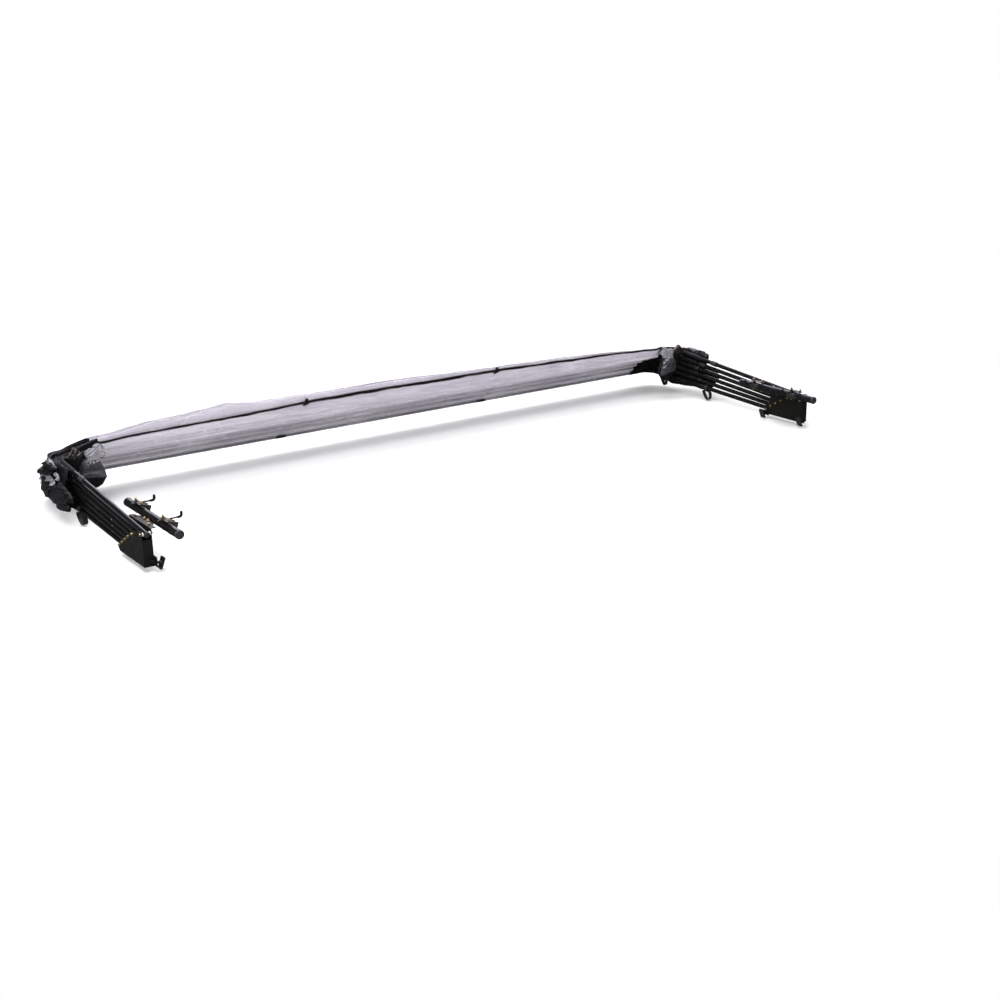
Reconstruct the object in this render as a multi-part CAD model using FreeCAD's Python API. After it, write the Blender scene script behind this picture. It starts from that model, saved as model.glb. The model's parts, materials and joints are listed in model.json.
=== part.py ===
import FreeCAD, Part
import math
import os

# Fold-back pool canopy: six U-shaped tube hoops that fan open and shut on two
# hinge units, one clamped to the legs at the middle of each short pool end.
# +X along the pool's length, +Y towards the side where the canopy is stowed,
# +Z up, millimetres. Positions are written from the centre of the pool opening
# at rim height; save() shifts the pieces so that the origin is the bottom
# centre of the stowed canopy. "Left" is -X, "front" -Y and "rear" +Y.
# Everything at an end is built on the left and mirrored for the right.

V = FreeCAD.Vector
X_AXIS, Y_AXIS, Z_AXIS = V(1, 0, 0), V(0, 1, 0), V(0, 0, 1)
SIN_45 = math.sin(math.radians(45))

# ---- driving dimensions -------------------------------------------------
ORIGIN = V(0, 573.0, -434.0)    # the frame's origin, from the centre of the opening
FIT = 0.05                      # gap between fitted pieces

# hoops
ARM_X = -2400.0                 # plane of the left arms
TUBE_R = 15.0                   # outside radius
TUBE_WALL = 1.5
BORE_R = TUBE_R - TUBE_WALL
REACH = 1300.0                  # pivot to centre line of the long tube
BEND_R = 80.0                   # corner bend, centre line
ARM_SPLIT = 900.0               # pivot to the joint between arm and corner tube
CENTRE_HALF = 800.0             # half length of the middle tube
SPIGOT_R = 13.4                 # reduced end that plugs into the next tube
SPIGOT_BORE_R = SPIGOT_R - TUBE_WALL
SPIGOT_L = 50.0
TAIL = 18.0                     # tube end beyond the pivot
PIVOTS = [(-151.0, -227.0), (-32.0, -255.0), (31.0, -284.0),    # y, z
          (81.0, -314.0), (127.0, -342.0), (176.0, -372.0)]
STOWED_DEG = [5.0, 4.8, 4.5, 4.0, 3.3, 2.5]                     # arm slope at rest

# fasteners
BOLT_R = 4.0                    # M8 shanks
CLEAR_R = 4.3                   # bolt holes
SHEET_PIVOT_R = 4.4             # pivot holes in the cover and back plate
ARM_PIVOT_R = 4.06              # pivot holes in the arms
HEX_AF = 13.0                   # across flats
FLANGE_R, FLANGE_T = 8.5, 1.5
SPACER_R0, SPACER_R1 = 4.1, 10.0

# hinge unit
SHEET = 3.0                     # cover and back plate
COVER_OUT_X = -2428.0
COVER_IN_X = COVER_OUT_X + SHEET
PLATE_OUT_X = -2375.0           # back plate, on the pool side of the arms
PLATE_IN_X = PLATE_OUT_X + SHEET
COVER_EDGE_X = PLATE_OUT_X - 0.1    # where the folded walls of the cover stop
FRONT_Y = -165.0
FLOOR_Z, TOP_Z = -405.0, -200.0
FOLD_R = 2.2                    # outside radius of the sheet folds
LIP_EDGE_X = -2345.0            # edge of the back plate's top lip

# shelf bracket and rail tab
BRACKET_T = 4.0
WEB_IN_X = PLATE_IN_X + BRACKET_T
SHELF_EDGE_X = -2322.0
SHELF_TOP = TOP_Z - SHEET
SHELF_BOTTOM = SHELF_TOP - BRACKET_T
TAB_BOTTOM = SHELF_BOTTOM - BRACKET_T
WEB_BOLTS = [(-78.0, -238.0), (84.0, -238.0)]       # y, z
LIP_BOLTS = [(-2356.0, -92.0), (-2356.0, 92.0)]     # x, y
TAB_BOLTS = [(-2336.0, 14.0), (-2336.0, -34.0)]     # x, y

# clamp rail, hook rods and strips
RAIL_X, RAIL_Z, RAIL_R, RAIL_WALL, RAIL_HALF = -2295.0, -200.0, 24.0, 2.5, 340.0
CAP_L, CAP_ROUND, CAP_PLUG_L = 16.0, 9.0, 22.0
CLAMPS = [(186.0, 209.0), (-180.0, -151.0)]         # y of the strip centre, y of the hook rod
CLAMP_BOLT_OFFSET = 40.0                            # each side of the strip centre
HOOK_R = 4.5
HOOK_BEND_R = 12.0
HOOK_TIP_L = 12.0                                   # straight upturned end
HOOK_START_X, HOOK_BEND_X = -2330.0, -2209.0
HOOK_Z = RAIL_Z + RAIL_R + HOOK_R
STRIP_BOTTOM = HOOK_Z + HOOK_R
STRIP_TOP = STRIP_BOTTOM + 4

# pool legs; left leg axis: x = -(LEG_X0 + LEG_SLOPE * |z|)
LEG_Y = 180.0
LEG_R = 24.1
LEG_X0, LEG_SLOPE = 2162.0, 0.372
LEG_N = math.hypot(LEG_SLOPE, 1.0)
UP_LEG = V(LEG_SLOPE / LEG_N, 0, 1.0 / LEG_N)
OUT_LEG = V(-1.0 / LEG_N, 0, LEG_SLOPE / LEG_N)     # square to the leg, away from the pool

# feet
FEET = {"front": (-LEG_Y, -400.0, 24), "back": (LEG_Y, -412.0, 8)}  # y, z on leg, stem end
FOOT_ROOT_X = -2370.0           # where the foot axis crosses the block
FOOT_FACE = 24.3                # leg axis to the face of the rubber
RUBBER_T, FOOT_PLATE_T = 6, 4
STEM_R = 6.0


# ---- helpers --------------------------------------------------------------
def near(a, b):
    return abs(a - b) < 0.01


def box(x0, x1, y0, y1, z0, z1):
    return Part.makeBox(x1 - x0, y1 - y0, z1 - z0, V(x0, y0, z0))


def cyl(start, direction, radius, length):
    return Part.makeCylinder(radius, length, V(*start), direction)


def ring(start, direction, r0, r1, length):
    bore = cyl(V(*start) - direction, direction, r0, length + 2)
    return cyl(start, direction, r1, length).cut(bore)


def face(points):
    return Part.Face(Part.makePolygon(points + points[:1]))


def prism_x(outline, x0, x1):
    """Outline of (y, z) points, extruded from x0 to x1."""
    return face([V(x0, y, z) for y, z in outline]).extrude(V(x1 - x0, 0, 0))


def turned(profile):
    """Shape turned about the Y axis from (along, radius) points."""
    return face([V(r, along, 0) for along, r in profile]).revolve(V(0, 0, 0), Y_AXIS, 360)


def bent_path(start, bend_in, bend_mid, bend_out, end):
    return Part.Wire([Part.makeLine(start, bend_in),
                      Part.Arc(bend_in, bend_mid, bend_out).toShape(),
                      Part.makeLine(bend_out, end)])


def pipe(path, start, direction, radius):
    section = Part.Wire([Part.makeCircle(radius, start, direction)])
    return path.makePipeShell([section], True, False)


def drill_x(shape, x, places, radius, length):
    """Holes along +X from x, at (y, z) places."""
    for y, z in places:
        shape = shape.cut(cyl((x, y, z), X_AXIS, radius, length))
    return shape


def drill_z(shape, z, places, radius, length):
    """Holes along +Z from z, at (x, y) places."""
    for x, y in places:
        shape = shape.cut(cyl((x, y, z), Z_AXIS, radius, length))
    return shape


def biggest(shape):
    return max(shape.Solids, key=lambda solid: solid.Volume)


def soften(shape, test, radius):
    """Round the edges that pass the test."""
    edges = [e for e in shape.Edges if test(e)]
    # guards against a fillet that the kernel cannot build: the edges then stay sharp
    try:
        rounded = shape.makeFillet(radius, edges)
        return rounded if rounded.isValid() and rounded.Volume > 0 else shape
    except Exception:
        return shape


def flip(shape):
    """Mirror image about the middle plane of the pool's length."""
    return shape.mirror(V(0, 0, 0), X_AXIS)


def both(shapes):
    return shapes + [flip(s) for s in shapes]


def save(name, shapes):
    """Write a list of shapes as one STEP file, moved to the output frame."""
    solids = [solid.copy() for s in shapes for solid in s.Solids]
    for solid in solids:
        solid.translate(ORIGIN * -1)
    out = solids[0] if len(solids) == 1 else Part.makeCompound(solids)
    out.exportStep("parts/%s.step" % name)


def save_sides(name, shape):
    save("left_" + name, [shape])
    save("right_" + name, [flip(shape)])


# ---- fasteners --------------------------------------------------------------
def hexagon(start, direction, across_flats, thickness):
    """Hexagon with its corners chamfered at the far end."""
    up = Z_AXIS if abs(direction.z) < 0.9 else Y_AXIS
    side = up.cross(direction).normalize()
    other = direction.cross(side)
    r = across_flats / math.sqrt(3)
    angles = [math.radians(60 * i + 30) for i in range(6)]
    corners = [start + side * (r * math.cos(a)) + other * (r * math.sin(a)) for a in angles]
    chamfer_r = across_flats / 2 * 1.01
    cone = Part.makeCone(chamfer_r + thickness, chamfer_r, thickness, start, direction)
    return face(corners).extrude(direction * thickness).common(cone)


def bolt(start, direction, grip, extra, head=5.3):
    """Flange head outside start, shank along direction through the grip and beyond."""
    start = V(*start)
    under_head = start - direction * FLANGE_T
    length = grip + extra
    flange = cyl(under_head, direction, FLANGE_R, FLANGE_T)
    hex_head = hexagon(under_head, -direction, HEX_AF, head)
    shank = cyl(start, direction, BOLT_R, length)
    tip = Part.makeCone(BOLT_R, BOLT_R * 0.8, 1.0, start + direction * length, direction)
    return flange.fuse([hex_head, shank, tip]).removeSplitter()


def nut(start, direction, thickness=6.5):
    start = V(*start)
    bore = cyl(start - direction, direction, BOLT_R + 0.03, thickness + 2)
    return hexagon(start, direction, HEX_AF, thickness).cut(bore)


# ---- legs -------------------------------------------------------------------
def leg_axis(y, z):
    """Point on the axis of a left leg."""
    return V(-(LEG_X0 + LEG_SLOPE * abs(z)), y, z)


def clear_feet(shape):
    """Cut away the room that the foot stems need."""
    for y, z, _ in FEET.values():
        cutter = cyl(leg_axis(y, z) + OUT_LEG * 20, OUT_LEG, 12.0, 160)
        shape = biggest(shape.cut(cutter))
    return shape


# ---- hinge unit ---------------------------------------------------------------
def hinge_cover():
    """Outer sheet with folded front wall, floor and rear lip."""
    outline = [(FRONT_Y, FLOOR_Z), (168.0, FLOOR_Z), (187.0, -390.0), (188.0, -361.0),
               (-26.0, -241.0), (-140.0, -213.0), (FRONT_Y, -213.0)]
    sheet = prism_x(outline, COVER_OUT_X, COVER_IN_X)
    front_wall = box(COVER_OUT_X, COVER_EDGE_X, FRONT_Y, FRONT_Y + SHEET, FLOOR_Z, -257.0)
    floor = box(COVER_OUT_X, COVER_EDGE_X, FRONT_Y, 168.0, FLOOR_Z, FLOOR_Z + SHEET)
    lip_outline = [(168.0, FLOOR_Z), (187.0, -390.0), (184.5, -388.0),
                   (166.5, FLOOR_Z + SHEET), (160.0, FLOOR_Z + SHEET), (160.0, FLOOR_Z)]
    rear_lip = prism_x(lip_outline, COVER_OUT_X, COVER_EDGE_X)
    cover = sheet.fuse([front_wall, floor, rear_lip]).removeSplitter()

    def is_fold(e):
        c = e.CenterOfMass
        return (e.Length > 120 and near(c.x, COVER_OUT_X)
                and (near(c.z, FLOOR_Z) or near(c.y, FRONT_Y)))

    cover = soften(cover, is_fold, FOLD_R)
    cover = drill_x(cover, COVER_OUT_X - 1, PIVOTS, SHEET_PIVOT_R, 6)
    return clear_feet(biggest(cover))


def back_plate():
    """Sheet on the pool side of the arms, with a lip folded over the shelf."""
    outline = [(FRONT_Y, FLOOR_Z), (190.0, FLOOR_Z), (190.0, -352.0), (136.0, -318.0),
               (136.0, TOP_Z), (FRONT_Y, TOP_Z)]
    plate = prism_x(outline, PLATE_OUT_X, PLATE_IN_X)
    lip = box(PLATE_OUT_X, LIP_EDGE_X, FRONT_Y + 6, 132.0, TOP_Z - SHEET, TOP_Z)
    plate = plate.fuse(lip).removeSplitter()
    plate = soften(plate, lambda e: e.Length > 200 and near(e.CenterOfMass.x, PLATE_OUT_X)
                   and near(e.CenterOfMass.z, TOP_Z), FOLD_R)
    plate = drill_x(plate, PLATE_OUT_X - 1, PIVOTS, SHEET_PIVOT_R, 6)
    plate = drill_x(plate, PLATE_OUT_X - 1, WEB_BOLTS, CLEAR_R, 6)
    plate = drill_z(plate, TOP_Z - 6, LIP_BOLTS, CLEAR_R, 10)
    return clear_feet(plate)


def shelf_bracket():
    """Web against the back plate, shelf out towards the rail, two gussets."""
    web = box(PLATE_IN_X, WEB_IN_X, -112.0, 112.0, -262.0, SHELF_TOP)
    shelf_outline = [(PLATE_IN_X, -112), (PLATE_IN_X, 112), (LIP_EDGE_X, 112),
                     (SHELF_EDGE_X, 78), (SHELF_EDGE_X, -78), (LIP_EDGE_X, -112)]
    shelf = face([V(x, y, SHELF_BOTTOM) for x, y in shelf_outline]).extrude(Z_AXIS * BRACKET_T)
    gussets = [face([V(WEB_IN_X, y, SHELF_BOTTOM), V(-2330, y, SHELF_BOTTOM),
                     V(WEB_IN_X, y, -255)]).extrude(Y_AXIS * BRACKET_T)
               for y in (-60.0, 56.0)]
    bracket = web.fuse([shelf] + gussets).removeSplitter()
    bracket = drill_x(bracket, PLATE_IN_X - 1, WEB_BOLTS, CLEAR_R, 8)
    bracket = drill_z(bracket, SHELF_TOP - 8, LIP_BOLTS + TAB_BOLTS, CLEAR_R, 12)
    # room for the nut of the second pivot
    return biggest(drill_x(bracket, PLATE_IN_X - 1, PIVOTS[1:2], 10.5, 8))


def rail_tab():
    """Plate welded to the rail, under the shelf."""
    tab = box(-2349.0, -2285.0, -50.0, 50.0, TAB_BOTTOM, SHELF_BOTTOM)
    tab = biggest(tab.cut(cyl((RAIL_X, -60, RAIL_Z), Y_AXIS, RAIL_R + 0.02, 120)))
    return drill_z(tab, SHELF_TOP - 10, TAB_BOLTS, CLEAR_R, 12)


def strip_bolts(centre_y):
    """(x, y) of the two bolts of a clamp strip."""
    return [(RAIL_X, centre_y - CLAMP_BOLT_OFFSET), (RAIL_X, centre_y + CLAMP_BOLT_OFFSET)]


CLAMP_BOLTS = [place for centre_y, _ in CLAMPS for place in strip_bolts(centre_y)]


def clamp_rail():
    rail = ring((RAIL_X, -RAIL_HALF, RAIL_Z), Y_AXIS, RAIL_R - RAIL_WALL, RAIL_R, 2 * RAIL_HALF)
    return drill_z(rail, RAIL_Z - 40, CLAMP_BOLTS, CLEAR_R, 80)


def rail_end_cap(side):
    """Rounded knob with a plug inside the rail; side is -1 front, 1 rear."""
    base = V(RAIL_X, side * RAIL_HALF, RAIL_Z)
    knob = cyl(base, Y_AXIS * side, RAIL_R + 1.0, CAP_L)
    knob = soften(knob, lambda e: near(abs(e.CenterOfMass.y), RAIL_HALF + CAP_L), CAP_ROUND)
    plug = cyl(base, Y_AXIS * -side, RAIL_R - RAIL_WALL - FIT, CAP_PLUG_L)
    return knob.fuse(plug).removeSplitter()


def hook_rod(y):
    """Rod lying across the top of the rail, with its pool end turned up."""
    start = V(HOOK_START_X, y, HOOK_Z)
    bend_in = V(HOOK_BEND_X, y, HOOK_Z)
    bend_centre = bend_in + Z_AXIS * HOOK_BEND_R
    bend_mid = bend_centre + V(HOOK_BEND_R * SIN_45, 0, -HOOK_BEND_R * SIN_45)
    bend_out = bend_centre + X_AXIS * HOOK_BEND_R
    tip = bend_out + Z_AXIS * HOOK_TIP_L
    path = bent_path(start, bend_in, bend_mid, bend_out, tip)
    rod = pipe(path, start, X_AXIS, HOOK_R)
    return rod.fuse(Part.makeSphere(HOOK_R, tip)).removeSplitter()


def clamp_strip(centre_y):
    """Flat strip over a hook rod."""
    strip = box(-2309.0, -2279.0, centre_y - 54, centre_y + 54, STRIP_BOTTOM, STRIP_TOP)
    strip = soften(strip, lambda e: near(e.Length, STRIP_TOP - STRIP_BOTTOM), 6.0)
    return drill_z(strip, -190, strip_bolts(centre_y), CLEAR_R, 40)


def leg_saddle(y):
    """Block between the rail and a sloping leg."""
    q = leg_axis(y, RAIL_Z)
    section = [(8, -16), (40, -16), (40, 16), (8, 16)]      # out from the leg, up the leg
    corners = [q + OUT_LEG * out + UP_LEG * up - Y_AXIS * 30 for out, up in section]
    block = face(corners).extrude(Y_AXIS * 60)
    block = block.cut(cyl(q - UP_LEG * 100, UP_LEG, LEG_R, 200))
    block = block.cut(cyl((RAIL_X, y - 40, RAIL_Z), Y_AXIS, RAIL_R + FIT, 80))
    limits = box(-2300, -2200, y - 40, y + 40, -230, RAIL_Z + RAIL_R - 0.5)
    return biggest(block.common(limits))


def foot_root(which):
    """Point on the leg axis, and the distance from it to the root of the foot."""
    y, z, _ = FEET[which]
    q = leg_axis(y, z)
    return q, (q.x - FOOT_ROOT_X) * LEG_N


def foot_block(which):
    """Plate on the back plate with a bored boss along the foot axis."""
    q, distance = foot_root(which)
    root = q + OUT_LEG * distance
    boss = cyl(root - OUT_LEG * 5, OUT_LEG, 11.5, 17)
    if which == "front":
        plate = box(PLATE_IN_X, WEB_IN_X, -200.0, -118.0, FLOOR_Z + 2, root.z + 30)
    else:
        plate = box(PLATE_IN_X, WEB_IN_X, 140.0, 204.0, root.z - 22, -384.5)
        boss = boss.common(box(-2420, -2300, 0, 300, -500, -384.0))
    block = plate.fuse(boss).removeSplitter()
    return biggest(block.cut(cyl(root - OUT_LEG * 60, OUT_LEG, STEM_R + 0.06, 120)))


def leg_slab(centre, half_length, half_width, thickness, corner_r):
    """Slab square to OUT_LEG, with rounded corners."""
    corners = [centre + UP_LEG * (a * half_length) + Y_AXIS * (b * half_width)
               for a, b in ((-1, -1), (1, -1), (1, 1), (-1, 1))]
    slab = face(corners).extrude(OUT_LEG * thickness)
    return soften(slab, lambda e: near(e.Length, thickness), corner_r)


def foot_pad(which):
    q, _ = foot_root(which)
    return leg_slab(q + OUT_LEG * FOOT_FACE, 32, 20, RUBBER_T, 7.0)


def foot_stem(which):
    """Plate behind the rubber pad, collar, hexagon and stem."""
    q, distance = foot_root(which)
    plate_at = q + OUT_LEG * FOOT_FACE + OUT_LEG * RUBBER_T
    plate = leg_slab(plate_at, 34, 22, FOOT_PLATE_T, 8.0)
    stem_from = FOOT_FACE + 8
    stem_to = distance + FEET[which][2]
    stem = cyl(q + OUT_LEG * stem_from, OUT_LEG, STEM_R, stem_to - stem_from)
    collar = Part.makeCone(12.0, 7.0, 7.0, plate_at + OUT_LEG * FOOT_PLATE_T, OUT_LEG)
    lock = hexagon(plate_at + OUT_LEG * 10.9, OUT_LEG, 17.0, 4.0)
    return plate.fuse([stem, collar, lock]).removeSplitter()


def clamp_bolts():
    bottom = RAIL_Z - RAIL_R
    return [bolt((x, y, bottom), Z_AXIS, STRIP_TOP - bottom, extra=19.0)
            for x, y in CLAMP_BOLTS]


def pivot_bolts():
    return [bolt((COVER_OUT_X, y, z), X_AXIS, PLATE_IN_X - COVER_OUT_X, extra=9.5)
            for y, z in PIVOTS]


def pivot_spacers():
    """A spacer on each side of every arm."""
    spans = [(COVER_IN_X, ARM_X - TUBE_R - FIT), (ARM_X + TUBE_R + FIT, PLATE_OUT_X)]
    return [ring((x0, y, z), X_AXIS, SPACER_R0, SPACER_R1, x1 - x0)
            for y, z in PIVOTS for x0, x1 in spans]


def bracket_bolts():
    bolts = [bolt((PLATE_OUT_X, y, z), X_AXIS, SHEET + BRACKET_T, extra=9.5, head=4.0)
             for y, z in WEB_BOLTS]
    bolts += [bolt((x, y, SHELF_BOTTOM), Z_AXIS, SHEET + BRACKET_T, extra=10.0)
              for x, y in LIP_BOLTS]
    bolts += [bolt((x, y, TAB_BOTTOM), Z_AXIS, 2 * BRACKET_T, extra=12.0)
              for x, y in TAB_BOLTS]
    return bolts


def lock_nuts():
    nuts = []
    for x, y in CLAMP_BOLTS:
        nuts.append(nut((x, y, STRIP_TOP), Z_AXIS))
        nuts.append(nut((x, y, STRIP_TOP + 6.7), Z_AXIS, thickness=5.5))
    nuts += [nut((PLATE_IN_X, y, z), X_AXIS) for y, z in PIVOTS]
    nuts += [nut((WEB_IN_X, y, z), X_AXIS) for y, z in WEB_BOLTS]
    nuts += [nut((x, y, TOP_Z), Z_AXIS) for x, y in LIP_BOLTS]
    nuts += [nut((x, y, SHELF_TOP), Z_AXIS) for x, y in TAB_BOLTS]
    return nuts


# ---- hoops, built flat with the pivot on the X axis --------------------------
def hoop_arm():
    arm = turned([(-TAIL, BORE_R), (-TAIL, TUBE_R), (ARM_SPLIT, TUBE_R), (ARM_SPLIT, SPIGOT_R),
                  (ARM_SPLIT + SPIGOT_L, SPIGOT_R), (ARM_SPLIT + SPIGOT_L, SPIGOT_BORE_R),
                  (ARM_SPLIT - 30, SPIGOT_BORE_R), (ARM_SPLIT - 34, BORE_R)])
    arm = arm.cut(cyl((-30, 0, 0), X_AXIS, ARM_PIVOT_R, 60))
    arm.translate(V(ARM_X, 0, 0))
    return arm


def corner_tube():
    start = V(ARM_X, ARM_SPLIT + FIT, 0)
    bend_in = V(ARM_X, REACH - BEND_R, 0)
    bend_out = V(ARM_X + BEND_R, REACH, 0)
    bend_centre = V(ARM_X + BEND_R, REACH - BEND_R, 0)
    bend_mid = bend_centre + V(-BEND_R * SIN_45, BEND_R * SIN_45, 0)
    end = V(-CENTRE_HALF - FIT, REACH, 0)
    path = bent_path(start, bend_in, bend_mid, bend_out, end)
    outer = pipe(path, start, Y_AXIS, TUBE_R)
    return biggest(outer.cut(pipe(path, start, Y_AXIS, BORE_R)))


def centre_tube():
    """Middle tube with a spigot at each end."""
    half = CENTRE_HALF + SPIGOT_L
    tube = cyl((-CENTRE_HALF, REACH, 0), X_AXIS, TUBE_R, 2 * CENTRE_HALF)
    spigots = cyl((-half, REACH, 0), X_AXIS, SPIGOT_R, 2 * half)
    bore = cyl((-half - 1, REACH, 0), X_AXIS, SPIGOT_BORE_R, 2 * half + 2)
    return tube.fuse(spigots).cut(bore).removeSplitter()


def end_plug(ribbed):
    """Plug in the tail of an arm; the ribbed one is wider."""
    cap_r = 16.5 if ribbed else TUBE_R
    plug = turned([(-TAIL + 9.0, 0), (-TAIL + 9.0, BORE_R - FIT), (-TAIL - 0.02, BORE_R - FIT),
                   (-TAIL - 0.02, cap_r), (-TAIL - 2.0, cap_r), (-TAIL - 5.0, cap_r - 2.0),
                   (-TAIL - 6.0, cap_r - 5.0), (-TAIL - 6.0, 0)])
    if ribbed:
        # five grooves leave ribs across the end face
        for i in range(-2, 3):
            x = i * 5.2
            plug = plug.cut(box(x - 0.9, x + 0.9, -TAIL - 8, -TAIL - 4.6, -20, 20))
    plug.translate(V(ARM_X, 0, 0))
    return biggest(plug)


def joint_collar(centre, direction, length):
    """Sleeve over a tube joint, with rounded outer rims."""
    radius = 18.0
    sleeve = ring(centre - direction * (length / 2), direction, TUBE_R + FIT, radius, length)
    return soften(sleeve, lambda e: e.Curve.TypeId == "Part::GeomCircle"
                  and near(e.Curve.Radius, radius), 1.2)


def place(shapes, k):
    """Copies of flat hoop pieces, tilted and moved to pivot k."""
    placed = [s.copy() for s in shapes]
    for s in placed:
        s.rotate(V(0, 0, 0), X_AXIS, STOWED_DEG[k])
        s.translate(V(0, PIVOTS[k][0], PIVOTS[k][1]))
    return placed


# ---- soft goods ---------------------------------------------------------------
FILM_HALF = 2312.0
FILM_TOPS = [48.0, 22.0, -8.0, -60.0, -118.0]       # top z of each gathered bay
CLOTH_OUTLINE = [(860.0, -352.0), (930.0, -400.0), (1130.0, -412.0), (1330.0, -434.0),  # y, z
                 (1470.0, -395.0), (1502.0, -300.0), (1470.0, -190.0), (1330.0, -95.0),
                 (1180.0, -40.0), (1080.0, -62.0), (960.0, -150.0), (880.0, -250.0)]
LOOPS = [(861.0, 62.0), (1330.0, 78.0)]             # y, drop below the arm axis
LOOP_HALF, LOOP_TOP, WEBBING_T = 21, 21.5, 2


def hoop_end(k):
    """(y, z) of the long tube of stowed hoop k."""
    a = math.radians(STOWED_DEG[k])
    return PIVOTS[k][0] + REACH * math.cos(a), PIVOTS[k][1] + REACH * math.sin(a)


def hollow_bundle(outline, x0, x1, wall):
    """Closed fabric roll: outer outline with a sealed space inside."""
    mid_y = sum(y for y, _ in outline) / len(outline)
    mid_z = sum(z for _, z in outline) / len(outline)
    inner = []
    for y, z in outline:
        distance = math.hypot(y - mid_y, z - mid_z)
        f = (distance - wall * 1.35) / distance
        inner.append((mid_y + (y - mid_y) * f, mid_z + (z - mid_z) * f))
    return biggest(prism_x(outline, x0, x1).cut(prism_x(inner, x0 + wall, x1 - wall)))


def film_bay(k):
    """Film gathered between hoops k and k + 1."""
    y_next, z_next = hoop_end(k + 1)
    y0 = hoop_end(k)[0] + TUBE_R + 5
    y1 = y_next + 12 if k else y_next - 2
    base = z_next + TUBE_R + 6
    top = FILM_TOPS[k]
    outline = [(y0, base + 6), (y0 + 8, base), (y1 - 8, base), (y1, base + 8), (y1, top - 22),
               (y1 - 9, top - 6), ((y0 + y1) / 2, top), (y0 + 8, top - 8), (y0, top - 24)]
    return hollow_bundle(outline, -FILM_HALF, FILM_HALF, 2.0)


def webbing_loop(y, drop):
    """Loop hanging on the lowest arm."""
    pivot_y, pivot_z = PIVOTS[5]
    z = pivot_z + (y - pivot_y) * math.tan(math.radians(STOWED_DEG[5]))

    def rounded_box(inset, half_width, corner_r):
        half = LOOP_HALF - inset
        block = box(ARM_X - half, ARM_X + half, y - half_width, y + half_width,
                    z - drop + inset, z + LOOP_TOP - inset)
        return soften(block, lambda e: near(e.Length, 2 * half_width), corner_r)

    return biggest(rounded_box(0, 12.5, 12.0).cut(rounded_box(WEBBING_T, 14, 10.0)))


# ---- build and export -----------------------------------------------------------
os.makedirs("parts", exist_ok=True)

save_sides("hinge_cover", hinge_cover())
save_sides("back_plate", back_plate())
save_sides("clamp_rail", clamp_rail())
save("shelf_brackets", both([shelf_bracket()]))
save("rail_tabs", both([rail_tab()]))
save("rail_end_caps", both([rail_end_cap(side) for side in (-1, 1)]))
save("hook_rods", both([hook_rod(rod_y) for _, rod_y in CLAMPS]))
save("clamp_strips", both([clamp_strip(centre_y) for centre_y, _ in CLAMPS]))
save("clamp_bolts", both(clamp_bolts()))
save("leg_saddles", both([leg_saddle(y) for y in (-LEG_Y, LEG_Y)]))
save("foot_blocks", both([foot_block(which) for which in FEET]))
save("pivot_bolts", both(pivot_bolts()))
save("pivot_spacers", both(pivot_spacers()))
save("bracket_bolts", both(bracket_bolts()))
save("lock_nuts", both(lock_nuts()))
for which in FEET:
    save_sides("%s_foot_stem" % which, foot_stem(which))
    save_sides("%s_foot_pad" % which, foot_pad(which))

arms = both([hoop_arm()])
corners = both([corner_tube()])
collars = [joint_collar(V(ARM_X, ARM_SPLIT, 0), Y_AXIS, 56.0),
           joint_collar(V(-CENTRE_HALF, REACH, 0), X_AXIS, 70.0)]
for k in range(6):
    hoop = "hoop_%d" % (k + 1)
    save(hoop + "_arms", place(arms, k))
    save(hoop + "_corner_tubes", place(corners, k))
    save(hoop + "_centre_tube", place([centre_tube()], k))
    fittings = both([end_plug(ribbed=(k == 0))] + collars)
    save(hoop + "_plug_and_collars", place(fittings, k))

for k in range(5):
    save("film_bay_%d" % (k + 1), [film_bay(k)])
save_sides("end_cloth", hollow_bundle(CLOTH_OUTLINE, -2484.0, -2424.0, 3.0))
save("webbing_loops", both([webbing_loop(y, drop) for y, drop in LOOPS]))
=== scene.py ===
# A folding canopy, stowed: six hinged hoops joined by five bays of clear film, with black cloth
# round the corners and along the arms, a hemmed flap, bunched film at the corners, hook tips,
# rivets and webbing loops.
# X runs along the hoops' long tubes (left is -X), the arms reach out along +Y from their pivots,
# Z is up. Metres.
import json
import math

import bpy
import numpy as np
from mathutils import Matrix, Vector


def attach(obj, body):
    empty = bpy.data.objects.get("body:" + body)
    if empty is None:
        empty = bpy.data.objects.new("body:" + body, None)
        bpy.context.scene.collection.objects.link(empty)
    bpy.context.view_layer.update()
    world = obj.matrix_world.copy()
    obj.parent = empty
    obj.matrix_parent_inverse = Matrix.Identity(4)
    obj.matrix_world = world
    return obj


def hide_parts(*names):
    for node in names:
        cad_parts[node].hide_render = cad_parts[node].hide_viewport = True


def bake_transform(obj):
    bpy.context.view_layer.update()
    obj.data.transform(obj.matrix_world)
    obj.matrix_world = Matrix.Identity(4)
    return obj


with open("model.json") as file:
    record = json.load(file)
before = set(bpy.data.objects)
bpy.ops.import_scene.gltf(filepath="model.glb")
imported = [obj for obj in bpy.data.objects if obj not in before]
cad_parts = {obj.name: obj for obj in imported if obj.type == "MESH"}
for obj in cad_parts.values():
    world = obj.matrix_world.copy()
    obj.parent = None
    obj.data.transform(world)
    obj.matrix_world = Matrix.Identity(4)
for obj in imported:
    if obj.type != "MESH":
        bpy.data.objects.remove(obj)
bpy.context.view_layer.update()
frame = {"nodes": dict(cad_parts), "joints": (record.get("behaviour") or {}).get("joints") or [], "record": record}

# ------------------------------------------------------------------ frame data
# Pieces are laid out in the drawing frame, whose origin is at the centre of the opening the
# canopy covers. Adding SHIFT gives the row frame, which the scene uses.
SHIFT = np.array([0.0, -0.573, 0.434])
SIDES = ((-1, "left"), (1, "right"))
HOOPS = 6
ARM_X = 2.400           # an arm's centre line, from the middle
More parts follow.
